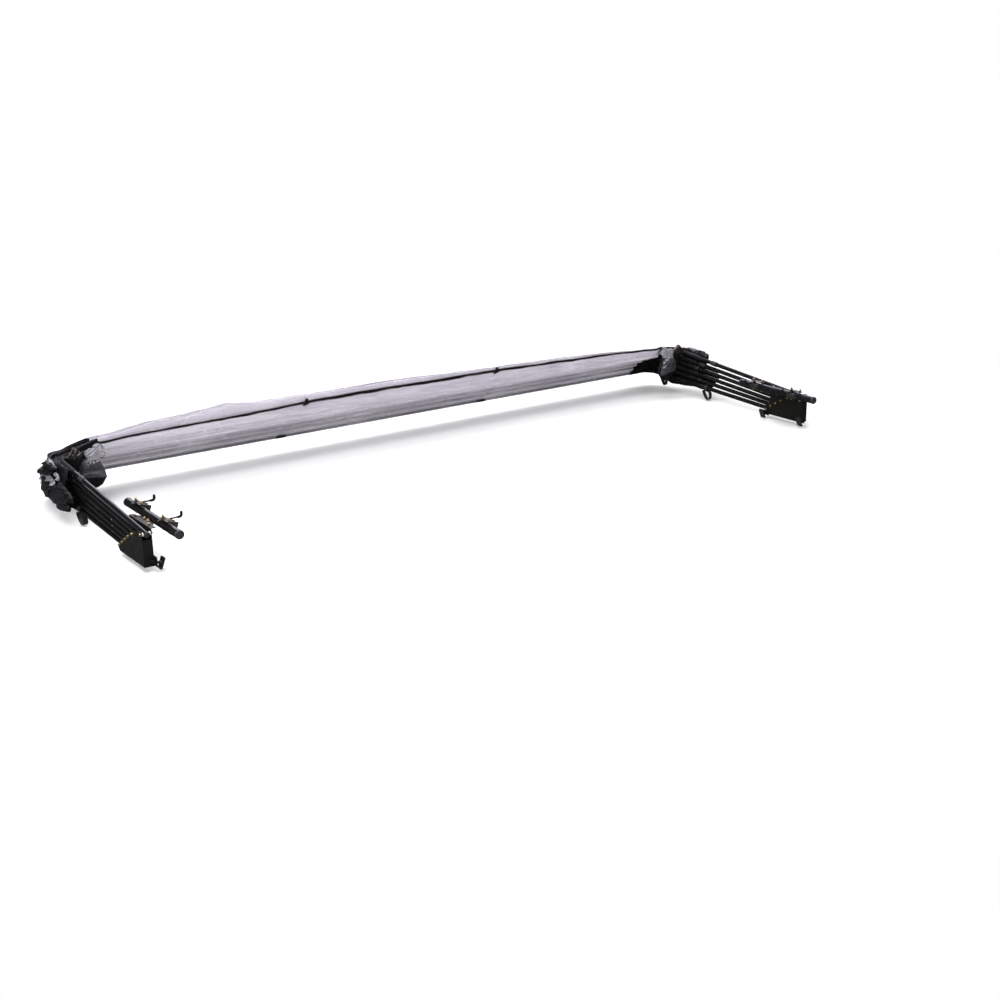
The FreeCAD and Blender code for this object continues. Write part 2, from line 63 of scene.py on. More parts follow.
REACH = 1.300           # pivot line to the long tube's centre line
BEND = 0.080            # bend radius at a hoop's corner
TUBE_R = 0.015

# Per hoop: stowed angle above +Y, pivot (y, z), and the angle it swings through to close.
STOWED = [math.radians(a) for a in (5.0, 4.8, 4.5, 4.0, 3.3, 2.5)]
joints = {j["child"]: j for j in frame["joints"]}
hoop_pos = [joints["hoop_%d" % (k + 1)]["pos_m"] for k in range(HOOPS)]
PIVOT = [(p[1] - SHIFT[1], p[2] - SHIFT[2]) for p in hoop_pos]
lead_travel = math.radians(joints["hoop_1"]["range_deg"][1])
TRAVEL = [lead_travel * ratio for ratio in (1.0, 0.806, 0.613, 0.421, 0.23, 0.04)]


def arm_z(k, y):
    """Height of hoop k's arm at y."""
    return PIVOT[k][1] + (y - PIVOT[k][0]) * math.tan(STOWED[k])


# ------------------------------------------------------------------ noise and curves
def hash01(i, j, seed):
    h = (i * 374761393 + j * 668265263 + seed * 974634777) & 0xFFFFFFFF
    h = ((h ^ (h >> 13)) * 1274126177) & 0xFFFFFFFF
    h = h ^ (h >> 16)
    return (h & 0xFFFFFF) / float(0xFFFFFF)


def ease(t):
    return t * t * t * (t * (t * 6 - 15) + 10)


def vnoise(x, y, seed):
    """Smooth value noise, -1 to 1."""
    x, y = np.broadcast_arrays(np.asarray(x, float), np.asarray(y, float))
    i = np.floor(x).astype(np.int64)
    j = np.floor(y).astype(np.int64)
    u, v = ease(x - i), ease(y - j)
    near = hash01(i, j, seed) * (1 - u) + hash01(i + 1, j, seed) * u
    far = hash01(i, j + 1, seed) * (1 - u) + hash01(i + 1, j + 1, seed) * u
    return 2 * (near * (1 - v) + far * v) - 1


def fbm(x, y, seed, octaves):
    """Layered value noise, each octave twice as fine and half as strong."""
    total, weight = 0.0, 0.0
    for o in range(octaves):
        total = total + 0.5 ** o * vnoise(x * 2 ** o, y * 2 ** o, seed + 17 * o)
        weight += 0.5 ** o
    return total / weight


def smooth(t):
    t = np.clip(t, 0, 1)
    return t * t * (3 - 2 * t)


def folds(a, b, seed, wave, warp):
    """Soft folds that run along a and repeat unevenly across b, -0.5 to 0.5.

    wave is their spacing, warp their unevenness. Backs are round and some valleys pinched."""
    phase = b / wave + warp * 1.3 * fbm(a / (wave * 3.2), b / (wave * 2.4), seed, 2)
    height = 0.5 - 0.5 * np.cos(2 * math.pi * phase)
    pinch = smooth(0.5 + 0.9 * vnoise(a / (wave * 2.6), b / (wave * 2.2), seed + 9))
    height = height * (1 - pinch) + np.sqrt(np.clip(height, 0, 1)) * pinch
    strength = 0.55 + 0.45 * vnoise(a / (wave * 3), b / (wave * 2), seed + 5)
    return (height - 0.5) * strength


def stations(low, high, step):
    count = max(4, int(math.ceil((high - low) / step)))
    return np.linspace(low, high, count + 1)


def table_at(x, table):
    """Second column of a table at x in its first."""
    return np.interp(x, *zip(*table))


def circle(count):
    return np.linspace(0, 2 * math.pi, count, endpoint=False)


def squared(wave, power):
    """A sine or cosine pushed towards -1 and 1, which squares up a round section."""
    return np.sign(wave) * np.abs(wave) ** power


# ------------------------------------------------------------------ mesh helpers
def new_object(name, verts, faces, mats, uvs, face_mats=None):
    """A smooth-shaded mesh from drawing-frame points."""
    mesh = bpy.data.meshes.new(name)
    mesh.from_pydata([tuple(v) for v in verts + SHIFT], [], faces)
    for mat in mats:
        mesh.materials.append(mat)
    if face_mats is not None:
        mesh.polygons.foreach_set("material_index", np.asarray(face_mats, np.int32))
    mesh.polygons.foreach_set("use_smooth", np.ones(len(mesh.polygons), bool))
    layer = mesh.uv_layers.new(name="UVMap")
    loops = np.zeros(len(mesh.loops), np.int32)
    mesh.loops.foreach_get("vertex_index", loops)
    layer.data.foreach_set("uv", np.asarray(uvs, np.float32)[loops].ravel())
    mesh.update()
    mesh.validate()
    ob = bpy.data.objects.new(name, mesh)
    bpy.context.scene.collection.objects.link(ob)
    return ob


def unit(vectors):
    return vectors / (np.linalg.norm(vectors, axis=-1, keepdims=True) + 1e-12)


def grid_normals(points):
    return unit(np.cross(np.gradient(points, axis=0), np.gradient(points, axis=1)))


def rim_lines(grid):
    """The four edges of a grid, all running the same way round."""
    return grid[:, 0], grid[-1], grid[::-1, -1], grid[0, ::-1]


def skin_faces(rows, cols, rim_order):
    """Quads over a grid of points, over its copy behind it, and along each rim between them."""
    index = np.arange(rows * cols).reshape(rows, cols)
    copy = rows * cols
    corners = (index[:-1, :-1], index[1:, :-1], index[1:, 1:], index[:-1, 1:])
    front = np.stack(corners, -1).reshape(-1, 4)
    faces = [front, front[:, ::-1] + copy]
    rims = rim_lines(index)
    for i in rim_order:
        a, b = rims[i][:-1], rims[i][1:]
        faces.append(np.stack([a, a + copy, b + copy, b], -1))
    return np.concatenate(faces)


def shell(name, points, thick, mats, uv, cell_mats=None):
    """A closed thin shell over a grid of points; cell_mats picks the material of each cell."""
    rows, cols = points.shape[:2]
    rim_order = (0, 2, 3, 1)
    half = grid_normals(points) * thick / 2
    verts = np.concatenate([(points + half).reshape(-1, 3), (points - half).reshape(-1, 3)])
    if cell_mats is None:
        cell_mats = np.zeros((rows - 1, cols - 1), int)
    rims = rim_lines(cell_mats)
    face_mats = np.concatenate([cell_mats.ravel()] * 2 + [rims[i] for i in rim_order])
    uvs = np.concatenate([uv.reshape(-1, 2)] * 2)
    faces = skin_faces(rows, cols, rim_order).tolist()
    return new_object(name, verts, faces, mats, uvs, face_mats)


def ring_faces(rings, sides, closed=False):
    """Quads round a stack of rings."""
    faces = []
    for i in range(rings if closed else rings - 1):
        a, b = i * sides, (i + 1) % rings * sides
        for j in range(sides):
            k = (j + 1) % sides
            faces.append((a + j, a + k, b + k, b + j))
    return faces


def sweep(name, path, section, scale, across, mat, closed=False, cap=False):
    """A section swept along a path, sized by scale at each point; its first axis keeps to across."""
    path = np.asarray(path, float)
    count, sides = len(path), len(section)
    if closed:
        tangent = unit(np.roll(path, -1, 0) - np.roll(path, 1, 0))
    else:
        tangent = unit(np.gradient(path, axis=0))
    across = np.asarray(across, float)
    first = unit(across - tangent * (tangent @ across)[:, None])
    second = np.cross(tangent, first)
    ring = section[:, :1] * first[:, None] + section[:, 1:] * second[:, None]
    verts = path[:, None] + np.reshape(scale, (-1, 1, 1)) * ring
    faces = ring_faces(count, sides, closed)
    if cap:
        faces.append(tuple(range(sides))[::-1])
        faces.append(tuple(range((count - 1) * sides, count * sides)))
    steps = np.linalg.norm(np.diff(path, axis=0), axis=1)
    length = np.concatenate([[0], np.cumsum(steps)])
    round_uv = np.arange(sides) / sides * 0.05
    uv = np.stack([np.repeat(length, sides), np.tile(round_uv, count)], 1)
    return new_object(name, verts.reshape(-1, 3), faces, [mat], uv)


def tube(name, path, radii, sides, mat, cap=False):
    angle = circle(sides)
    section = np.stack([np.cos(angle), np.sin(angle)], 1)
    return sweep(name, path, section, radii, (0.123, 0.321, 0.9), mat, cap=cap)


def strap(name, path, width, thick, across):
    """A closed loop of flat webbing."""
    angle = circle(16)
    section = np.stack([squared(np.cos(angle), 0.35) * width / 2,
                        squared(np.sin(angle), 0.6) * thick / 2], 1)
    return sweep(name, path, section, np.ones(len(path)), across, WEB, closed=True)


def loft(name, rings, mats, face_mat=lambda t, j: 0):
    """A closed body through rings of points, with a fan of triangles over each end.

    face_mat picks a material from the fraction along the rings and the fraction round them."""
    rings = np.asarray(rings, float)
    count, sides = rings.shape[:2]
    faces = ring_faces(count, sides)
    mats_of = [face_mat(i / (count - 1), j / sides) for i in range(count - 1) for j in range(sides)]
    start, end = count * sides, count * sides + 1
    last = (count - 1) * sides
    for j in range(sides):
        faces.append((start, (j + 1) % sides, j))
        faces.append((end, last + j, last + (j + 1) % sides))
        mats_of += [face_mat(0, 0), face_mat(1, 0)]
    verts = np.concatenate([rings.reshape(-1, 3), [rings[0].mean(0)], [rings[-1].mean(0)]])
    middle = rings[count // 2]
    segments = np.linalg.norm(np.roll(middle, -1, 0) - middle, axis=1)
    round_uv = np.concatenate([[0], np.cumsum(segments)[:-1]])
    steps = np.linalg.norm(np.diff(rings.mean(1), axis=0), axis=1)
    length = np.concatenate([[0], np.cumsum(steps)])
    uv = np.stack([np.tile(round_uv, count), np.repeat(length, sides)], 1)
    uv = np.concatenate([uv, uv[:1], uv[-1:]])
    return new_object(name, verts, faces, mats, uv, mats_of)


# ------------------------------------------------------------------ shader helpers
def add(tree, kind, inputs=None, **settings):
    """Adds a node. An input takes a socket to link, or a value; a tuple in a colour is RGB."""
    node = tree.nodes.new("ShaderNode" + kind)
    for key, value in settings.items():
        setattr(node, key, value)
    for key, value in (inputs or {}).items():
        socket = node.inputs[key]
        if isinstance(value, bpy.types.NodeSocket):
            tree.links.new(value, socket)
        elif socket.type == "RGBA":
            socket.default_value = (*value, 1)
        else:
            socket.default_value = value
    return node


def material(name):
    """A material that holds only its output node, which is first in the tree."""
    mat = bpy.data.materials.new(name)
    mat.use_nodes = True
    tree = mat.node_tree
    tree.nodes.clear()
    add(tree, "OutputMaterial")
    return mat, tree


def principled(tree, inputs):
    """A Principled BSDF wired to the output."""
    body = add(tree, "BsdfPrincipled", inputs)
    tree.links.new(body.outputs[0], tree.nodes[0].inputs[0])


def coords(tree, which="Object"):
    return add(tree, "TexCoord").outputs[which]


def noise(tree, vector, scale, detail, rough=0.5, distort=0.0):
    return add(tree, "TexNoise", {
        "Scale": scale, "Detail": detail, "Roughness": rough, "Distortion": distort,
        "Vector": vector}).outputs["Fac"]


def mapping(tree, vector, scale):
    return add(tree, "Mapping", {"Scale": scale, "Vector": vector}).outputs["Vector"]


def ramp(tree, factor, stops):
    """Colour ramp over (position, RGB or grey) stops."""
    node = add(tree, "ValToRGB", {"Fac": factor})
    elements = node.color_ramp.elements
    while len(elements) < len(stops):
        elements.new(0.5)
    for element, (position, colour) in zip(elements, stops):
        element.position = position
        element.color = (*colour, 1) if isinstance(colour, tuple) else (colour,) * 3 + (1,)
    return node.outputs["Color"]


def calc(tree, operation, *values, clamp=False):
    inputs = dict(enumerate(values))
    return add(tree, "Math", inputs, operation=operation, use_clamp=clamp).outputs[0]


def mix(tree, factor, first, second, blend="MIX"):
    inputs = {0: factor, 6: first, 7: second}
    return add(tree, "Mix", inputs, data_type="RGBA", blend_type=blend).outputs[2]


def remap(tree, value, source=(0.0, 1.0), to=(0.0, 1.0), **settings):
    return add(tree, "MapRange", {
        "Value": value, "From Min": source[0], "From Max": source[1],
        "To Min": to[0], "To Max": to[1]}, **settings).outputs[0]


def bump(tree, height, strength, distance, under=None):
    """Bump normal, laid over another one when given."""
    inputs = {"Strength": strength, "Distance": distance, "Height": height}
    if under is not None:
        inputs["Normal"] = under
    return add(tree, "Bump", inputs).outputs["Normal"]


def edge_mask(tree):
    """White close to sharp edges, from how far a bevelled normal leaves the face's own."""
    face = add(tree, "NewGeometry").outputs["Normal"]
    bevel = add(tree, "Bevel", {"Radius": 0.0012}, samples=4).outputs["Normal"]
    dot = add(tree, "VectorMath", {0: face, 1: bevel}, operation="DOT_PRODUCT")
    return ramp(tree, dot.outputs["Value"], [(0.80, 1), (0.97, 0)])


# ------------------------------------------------------------------ materials
def powder_coat(name, dark, light, rough, grain, wear, spec, coat=0.0):
    """Powder-coated steel; wear is the colour of its rubbed edges, grain its orange-peel scale."""
    mat, tree = material(name)
    v = coords(tree)
    cloud = noise(tree, v, scale=7.0, detail=5.0, rough=0.6)
    peel = noise(tree, v, scale=grain, detail=2.0)
    mottle = noise(tree, v, scale=34.0, detail=5.0, rough=0.65)
    colour = ramp(tree, cloud, [(0.3, dark), (0.72, light)])
    edge = edge_mask(tree)
    breakup = noise(tree, v, scale=130.0, detail=4.0, rough=0.7)
    worn = calc(tree, "MULTIPLY", edge, ramp(tree, breakup, [(0.45, 0), (0.6, 1)]))
    worn = calc(tree, "MULTIPLY", worn, 0.5)
    principled(tree, {
        "Base Color": mix(tree, worn, colour, wear),
        "Roughness": remap(tree, mottle, source=(0.3, 0.7), to=rough),
        "Specular IOR Level": spec, "Coat Weight": coat, "Coat Roughness": 0.25,
        "Normal": bump(tree, peel, strength=0.16, distance=0.0003)})
    return mat


def zinc(name):
    """Yellow-passivated zinc plate with a rainbow tint."""
    mat, tree = material(name)
    v = coords(tree)
    tint = noise(tree, v, scale=60.0, detail=3.0, rough=0.6)
    fine = noise(tree, v, scale=1500.0, detail=2.0)
    cloud = noise(tree, v, scale=240.0, detail=3.0, rough=0.6)
    principled(tree, {
        "Metallic": 1.0,
        "Base Color": ramp(tree, tint, [(0.25, (0.62, 0.42, 0.16)), (0.5, (0.84, 0.66, 0.30)),
                                        (0.66, (0.78, 0.70, 0.44)), (0.85, (0.70, 0.48, 0.34))]),
        "Roughness": remap(tree, cloud, to=(0.18, 0.46)),
        "Normal": bump(tree, fine, strength=0.1, distance=0.0003)})
    return mat


def moulded(name, dark, light, rough, grain=700.0, spec=0.5, subsurface=0.0, relief=0.25):
    """Grained plastic or rubber with long scuffs."""
    mat, tree = material(name)
    v = coords(tree)
    cloud = noise(tree, v, scale=18.0, detail=4.0, rough=0.6)
    grainy = noise(tree, v, scale=grain, detail=3.0, rough=0.6)
    scuff = noise(tree, mapping(tree, v, (40, 40, 400)), scale=3.0, detail=3.0, rough=0.7)
    scuff = calc(tree, "MULTIPLY", scuff, 0.25)
    principled(tree, {
        "Base Color": ramp(tree, cloud, [(0.3, dark), (0.7, light)]),
        "Roughness": calc(tree, "ADD", scuff, rough - 0.12),
        "Specular IOR Level": spec,
        "Subsurface Weight": subsurface, "Subsurface Radius": (0.004, 0.004, 0.004),
        "Normal": bump(tree, grainy, strength=relief, distance=0.0004)})
    return mat


def woven(name, dark, light, pitch, rough, relief, gloss):
    """Plain-weave cloth: warp and weft from two crossed waves, with a fine nap and creases."""
    mat, tree = material(name)
    v = coords(tree, "UV")
    axes = add(tree, "SeparateXYZ", {0: v}).outputs
    warp, weft = (
        calc(tree, "SINE", calc(tree, "MULTIPLY", axes[i], 2 * math.pi / pitch)) for i in (0, 1))
    weave = calc(tree, "MULTIPLY", warp, weft)
    threads = calc(tree, "ADD", calc(tree, "ABSOLUTE", warp), calc(tree, "ABSOLUTE", weft))
    height = calc(tree, "ADD", calc(tree, "MULTIPLY", weave, 0.5),
                  calc(tree, "MULTIPLY", threads, 0.25))
    cloud = noise(tree, v, scale=9.0, detail=5.0, rough=0.6)
    nap = noise(tree, v, scale=420.0, detail=3.0, rough=0.6)
    napped = tuple(min(1.0, 2.4 * c) for c in light)
    colour = ramp(tree, cloud, [(0.32, dark), (0.7, light)])
    small = noise(tree, v, scale=38.0, detail=6.0, rough=0.62, distort=0.8)
    large = noise(tree, v, scale=14.0, detail=5.0, rough=0.55, distort=1.2)
    normal = bump(tree, large, strength=0.35, distance=0.02)
    normal = bump(tree, small, strength=0.35, distance=0.006, under=normal)
    principled(tree, {
        "Base Color": mix(tree, calc(tree, "MULTIPLY", nap, 0.25), colour, napped),
        "Roughness": calc(tree, "ADD", calc(tree, "MULTIPLY", cloud, 0.3), rough - 0.15),
        "Specular IOR Level": gloss, "Sheen Weight": 0.0, "Sheen Roughness": 0.4,
        "Normal": bump(tree, height, strength=relief, distance=0.0005, under=normal)})
    return mat


def webbing(name, dark, light):
    """Narrow webbing with a diagonal rib."""
    mat, tree = material(name)
    v = coords(tree, "UV")
    rib = add(tree, "TexWave", {"Scale": 120.0, "Distortion": 0.6, "Vector": v},
              wave_type="BANDS", bands_direction="DIAGONAL").outputs["Fac"]
    nap = noise(tree, v, scale=500.0, detail=3.0, rough=0.6)
    ribbed = bump(tree, rib, strength=0.6, distance=0.0008)
    principled(tree, {
        "Base Color": ramp(tree, rib, [(0.2, dark), (0.8, light)]),
        "Roughness": 0.62, "Sheen Weight": 0.1,
        "Normal": bump(tree, nap, strength=0.2, distance=0.0006, under=ribbed)})
    return mat


def vinyl(name, tint, milky, opacity, rough, wrinkle=1.0, painted_glints_and_shade=False):
    """Soft clear vinyl: a milky tint that thickens in its creases, with wet-looking wrinkles. With streaks
    switched on it adds lengthwise pale beige streaks as painted glints and dark lilac-grey streaks as painted
    shade in the pleats.
    """
    mat, tree = material(name)
    v = coords(tree, "UV")
    stretch = mapping(tree, v, (0.10, 1.0, 1.0))
    big = noise(tree, stretch, scale=9.0, detail=5.0, rough=0.6, distort=1.5)
    mid = noise(tree, stretch, scale=34.0, detail=5.0, rough=0.6, distort=1.0)
    fine = noise(tree, v, scale=160.0, detail=4.0, rough=0.6, distort=0.4)
    # creases along the edges of warped cells
    drift = add(tree, "TexNoise", {"Scale": 12.0, "Vector": stretch}).outputs["Color"]
    warped = add(tree, "VectorMath", {0: drift, 1: (0.12, 0.12, 0.12), 2: stretch},
                 operation="MULTIPLY_ADD").outputs[0]
    cells = add(tree, "TexVoronoi", feature="DISTANCE_TO_EDGE")
    cells.inputs["Scale"].default_value = 16.0
    tree.links.new(warped, cells.inputs["Vector"])
    crease = ramp(tree, cells.outputs["Distance"], [(0.0, 0.5), (0.025, 0)])
    swell = bump(tree, big, strength=0.35 * wrinkle, distance=0.03)
    rolling = bump(tree, mid, strength=0.35 * wrinkle, distance=0.008, under=swell)
    normal = bump(tree, crease, strength=0.25 * wrinkle, distance=0.003, under=rolling)
    normal = bump(tree, fine, strength=0.12 * wrinkle, distance=0.0012, under=normal)
    colour = mix(tree, ramp(tree, big, [(0.35, 0), (0.7, 1)]), tint, milky)
    if painted_glints_and_shade:
        # painted glints: pale beige streaks along the film; painted shade: dark streaks in its pleats
        streak = noise(tree, mapping(tree, v, (0.035, 1.0, 1.0)),
                       scale=46.0, detail=3.0, rough=0.55, distort=0.6)
        painted_glint = ramp(tree, streak, [(0.58, 0), (0.72, 0.45)])
        colour = mix(tree, painted_glint, colour, (0.88, 0.80, 0.76))
        painted_shade = ramp(tree, streak, [(0.26, 0.30), (0.40, 0)])
        colour = mix(tree, painted_shade, colour, (0.42, 0.39, 0.45))
    # denser in the creases and where the film is seen edge on
    density = calc(tree, "ADD", calc(tree, "MULTIPLY", big, 0.45),
                   calc(tree, "MULTIPLY", crease, 0.25))
    density = remap(tree, density, source=(0.1, 0.5), to=opacity)
    facing = add(tree, "LayerWeight", {"Blend": 0.35, "Normal": rolling}).outputs["Facing"]
    facing = calc(tree, "MULTIPLY", facing, 0.35)
    principled(tree, {
        "Base Color": colour, "Roughness": remap(tree, mid, to=rough),
        "Specular IOR Level": 0.6, "Coat Weight": 0.6, "Coat Roughness": 0.06,
        "Normal": normal, "Coat Normal": normal,
        "Alpha": calc(tree, "ADD", density, facing, clamp=True)})
    return mat


HINGE = powder_coat("hinge_black", dark=(0.0035, 0.0034, 0.0028), light=(0.0085, 0.0080, 0.0065),
                    rough=(0.30, 0.46), grain=800.0, spec=0.22, wear=(0.07, 0.065, 0.06))
RAIL = powder_coat("rail_black", dark=(0.0026, 0.0024, 0.0031), light=(0.0070, 0.0065, 0.0080),
                   rough=(0.14, 0.27), grain=900.0, spec=0.35, coat=0.06, wear=(0.09, 0.085, 0.09))
TUBE = powder_coat("tube_black", dark=(0.0020, 0.0018, 0.0017), light=(0.0060, 0.0051, 0.0048),
                   rough=(0.14, 0.27), grain=1000.0, spec=0.35, coat=0.06,
                   wear=(0.08, 0.075, 0.075))
HOOK = powder_coat("hook_steel", dark=(0.010, 0.006, 0.0055), light=(0.024, 0.015, 0.013),
                   rough=(0.16, 0.30), grain=900.0, spec=0.4, coat=0.1, wear=(0.16, 0.13, 0.12))
FOOT = powder_coat("foot_steel", dark=(0.006, 0.0055, 0.005), light=(0.014, 0.0125, 0.0115),
                   rough=(0.28, 0.42), grain=900.0, spec=0.3, wear=(0.14, 0.13, 0.115))
ZINC = zinc("yellow_zinc")
CAP = moulded("cap_plastic", dark=(0.010, 0.010, 0.012), light=(0.024, 0.024, 0.028), rough=0.42)
COLLAR = moulded("collar_plastic", dark=(0.006, 0.006, 0.007), light=(0.014, 0.014, 0.016),
                 rough=0.36)
CLIP = moulded("clip_plastic", dark=(0.0018, 0.0018, 0.002), light=(0.005, 0.005, 0.006),
               rough=0.5, spec=0.3)
RUBBER = moulded("saddle_rubber", dark=(0.012, 0.012, 0.012), light=(0.026, 0.026, 0.026),
                 rough=0.72, grain=500.0, spec=0.25, relief=0.4)
NYLON = moulded("nylon", dark=(0.60, 0.59, 0.55), light=(0.74, 0.73, 0.70),
                rough=0.4, grain=600.0, subsurface=0.15)
CLOTH = woven("black_cloth", dark=(0.0022, 0.0022, 0.0026), light=(0.0060, 0.0060, 0.0072),
              pitch=0.0022, rough=0.36, relief=0.35, gloss=0.26)
HEM = woven("hem_tape", dark=(0.0018, 0.0018, 0.0022), light=(0.0050, 0.0050, 0.0058),
            pitch=0.0016, rough=0.45, relief=0.5, gloss=0.2)
# pocket: a lighter, glossier brown copy of the black cloth, painted highlight on the pocket's lit upper part
POCKET_PAINTED_HIGHLIGHT = woven("pocket_painted_highlight", dark=(0.004, 0.0028, 0.0026), light=(0.020, 0.0135, 0.0115),
               pitch=0.0022, rough=0.2, relief=0.3, gloss=0.8)
WEB = webbing("webbing", dark=(0.002, 0.002, 0.002), light=(0.008, 0.008, 0.0085))
FILM = vinyl("clear_film", tint=(0.52, 0.49, 0.57), milky=(0.80, 0.775, 0.84),
             opacity=(0.14, 0.42), rough=(0.05, 0.22), wrinkle=0.6, painted_glints_and_shade=True)
SMOKE = vinyl("smoky_film", tint=(0.016, 0.0155, 0.019), milky=(0.085, 0.080, 0.098),
              opacity=(0.74, 0.94), rough=(0.12, 0.3))
KNOT = vinyl("knot_film", tint=(0.13, 0.12, 0.15), milky=(0.74, 0.72, 0.78),
             opacity=(0.45, 0.85), rough=(0.05, 0.16), wrinkle=0.7)


def paint_frame():
    """Gives each CAD piece the material of its slot."""
    by_slot = {"hinge_black": HINGE, "rail_black": RAIL, "tube_black": TUBE, "hook_steel": HOOK,
               "foot_steel": FOOT, "yellow_zinc": ZINC, "cap_plastic": CAP,
               "saddle_rubber": RUBBER, "nylon": NYLON, "clear_film": FILM,
               "black_cloth": CLOTH, "webbing": WEB}
    slot_of = {s["node"]: s["material_slot"] for s in frame["record"]["subparts"]}
    for name, ob in frame["nodes"].items():
        mat = by_slot[slot_of[name]]
        if name.endswith("plug_and_collars") and name != "hoop_1_plug_and_collars":
            mat = COLLAR
        if not ob.material_slots:
            ob.data.materials.append(mat)
        for slot in ob.material_slots:
            slot.material = mat


paint_frame()

# ------------------------------------------------------------------ the canopy's sheets
# A place on a hoop is the distance along it: 0 in the middle, -S_END and S_END where the
# cloth ends on the left and right arms.
ARM_IN = 0.745          # nominal start of the cloth, out from the pivot line
ARM_START = [1.030, 0.965, 0.905, 0.830, 0.750, 0.670]   # where it starts on each hoop
CUFF_X = 2.185          # black cloth covers each corner from here outwards
STRAIGHT = ARM_X - BEND
ARC = BEND * math.pi / 2
ARM_LEN = REACH - BEND - ARM_IN
S_END = STRAIGHT + ARC + ARM_LEN
FIBRE = 0.78            # sewn depth of one bay along the film, between two hoops
# Per bay: the share of it sewn to its first hoop, and how far its folds sit below the top line.
SPLIT = [0.13, 0.30, 0.20, 0.15, 0.20]
TOP_DROP = [0.0, 0.020, 0.048, 0.082, 0.118]
# (x, height the gathered film reaches)
TOP_LINE = [
    (-2.42, -0.100), (-2.329, -0.063), (-2.209, -0.031), (-2.149, -0.016), (-2.031, -0.008),
    (-1.824, 0.023), (-1.602, 0.035), (-1.40, 0.050), (-1.268, 0.066), (-1.16, 0.048),
    (-1.087, 0.040), (-0.818, 0.038), (-0.556, 0.033), (-0.124, 0.034), (0.3, 0.020),
    (0.756, 0.003), (1.28, -0.006), (1.512, -0.014), (1.749, -0.027), (1.919, -0.040),
    (2.2, -0.060), (2.42, -0.100)]
TOP_Y, TOP_SLOPE = 1.15, 0.26   # the top line holds at this y and falls away beyond it
TOP_LIMIT = 0.066
COVER = 0.017           # film lies this far above a tube's centre line


def outline(s, start):
    """x and distance from the pivot line at s, where the cloth starts at start on the arms."""
    a = np.abs(s)
    turn = np.clip((a - STRAIGHT) / ARC, 0, 1) * math.pi / 2
    x = np.where(s < 0, -1.0, 1.0) * (np.minimum(a, STRAIGHT) + BEND * np.sin(turn))
    inwards = np.maximum(a - STRAIGHT - ARC, 0) / ARM_LEN * (REACH - BEND - start)
    return x, REACH - BEND + BEND * np.cos(turn) - inwards


def closed_point(k, r):
    """(y, z) at distance r from hoop k's pivot when the canopy is closed."""
    angle = STOWED[k] + TRAVEL[k]
    return PIVOT[k][0] + r * math.cos(angle), PIVOT[k][1] + r * math.sin(angle)


def gathered_height(bay, lead_side, x, y, t, across, tube_z, edge_in, seed):
    """Height of the film bunched over the long tube."""
    bell = np.sin(math.pi * t)
    top = table_at(x, TOP_LINE) - TOP_SLOPE * (y - TOP_Y) - TOP_DROP[bay]
    top = top + 0.004 * fbm(x * 2.1, 2, seed + 4, 2) * (bay > 0)
    if not lead_side:
        top = top - 0.004
    top = np.minimum(top, TOP_LIMIT)
    lift = np.maximum(top - (tube_z + COVER), 0.02)
    warped = np.clip(t + 0.035 * fbm(x * 0.9, 7, seed + 6, 2) * bell, 0, 1)
    if lead_side:   # one hump, leaning to the tube
        hump = np.sin(math.pi * warped ** 0.80) ** 0.8
        z = tube_z + COVER * (1 - t) + lift * hump - 0.015 * t
    else:           # two humps with a sagging valley between
        humps = np.sin(2 * math.pi * warped) ** 2
        fall = 0.12 if bay == 0 else 0.30
        envelope = 1 - fall * (1 - t) * (0.5 + 0.5 * vnoise(x * 0.8, 0, seed + 8))
        sag = 0.3 + 0.25 * fbm(x * 1.6, 1, seed + 9, 2)
        valley = smooth(t / 0.12) * smooth((1 - t) / 0.10) * sag * (1 - humps)
        z = tube_z + COVER + lift * envelope * humps + lift * valley
    z = z + edge_in * 0.006 * folds(x + across, across * 1.5 + 0.2 * x, seed + 12,
                                    wave=0.11, warp=1.0)
    return np.minimum(z, top + 0.006 * bell + 0.002)


def arm_pleats(bay, lead_side, s, r, t, seed):
    """Height and outward throw of the loose pleats between an arm and its neighbour."""
    bell = np.sin(math.pi * t)
    loose = smooth((r - 0.66) / 0.42)      # grows out along the arm
    pleats = 1.5 if lead_side else 2.5
    slant = (np.abs(s) - STRAIGHT) * (2.2 + 0.8 * bay)
    phase = 2 * math.pi * pleats * t + slant
    phase = phase + 3.0 * fbm(s * 2.6, t * 1.2 + 1, seed + 14, 2) + (s > 0) * 1.7
    droop = (0.020 + 0.006 * bay) * loose * bell * (0.5 + 0.8 * fbm(s * 4, t * 2, seed + 15, 2))
    height = (0.010 + 0.036 * loose) * bell * np.sin(phase) - droop
    envelope = bell ** 0.6
    throw = 0.020 + 0.011 * np.cos(phase) + 0.006 * fbm(s * 3, t * 2, seed + 16, 2)
    out = 0.0175 + envelope * (0.005 + throw * (0.25 + 0.75 * loose))
    out = out + 0.004 * envelope * (bay - 2)
    return height, np.maximum(out, 0.0172)


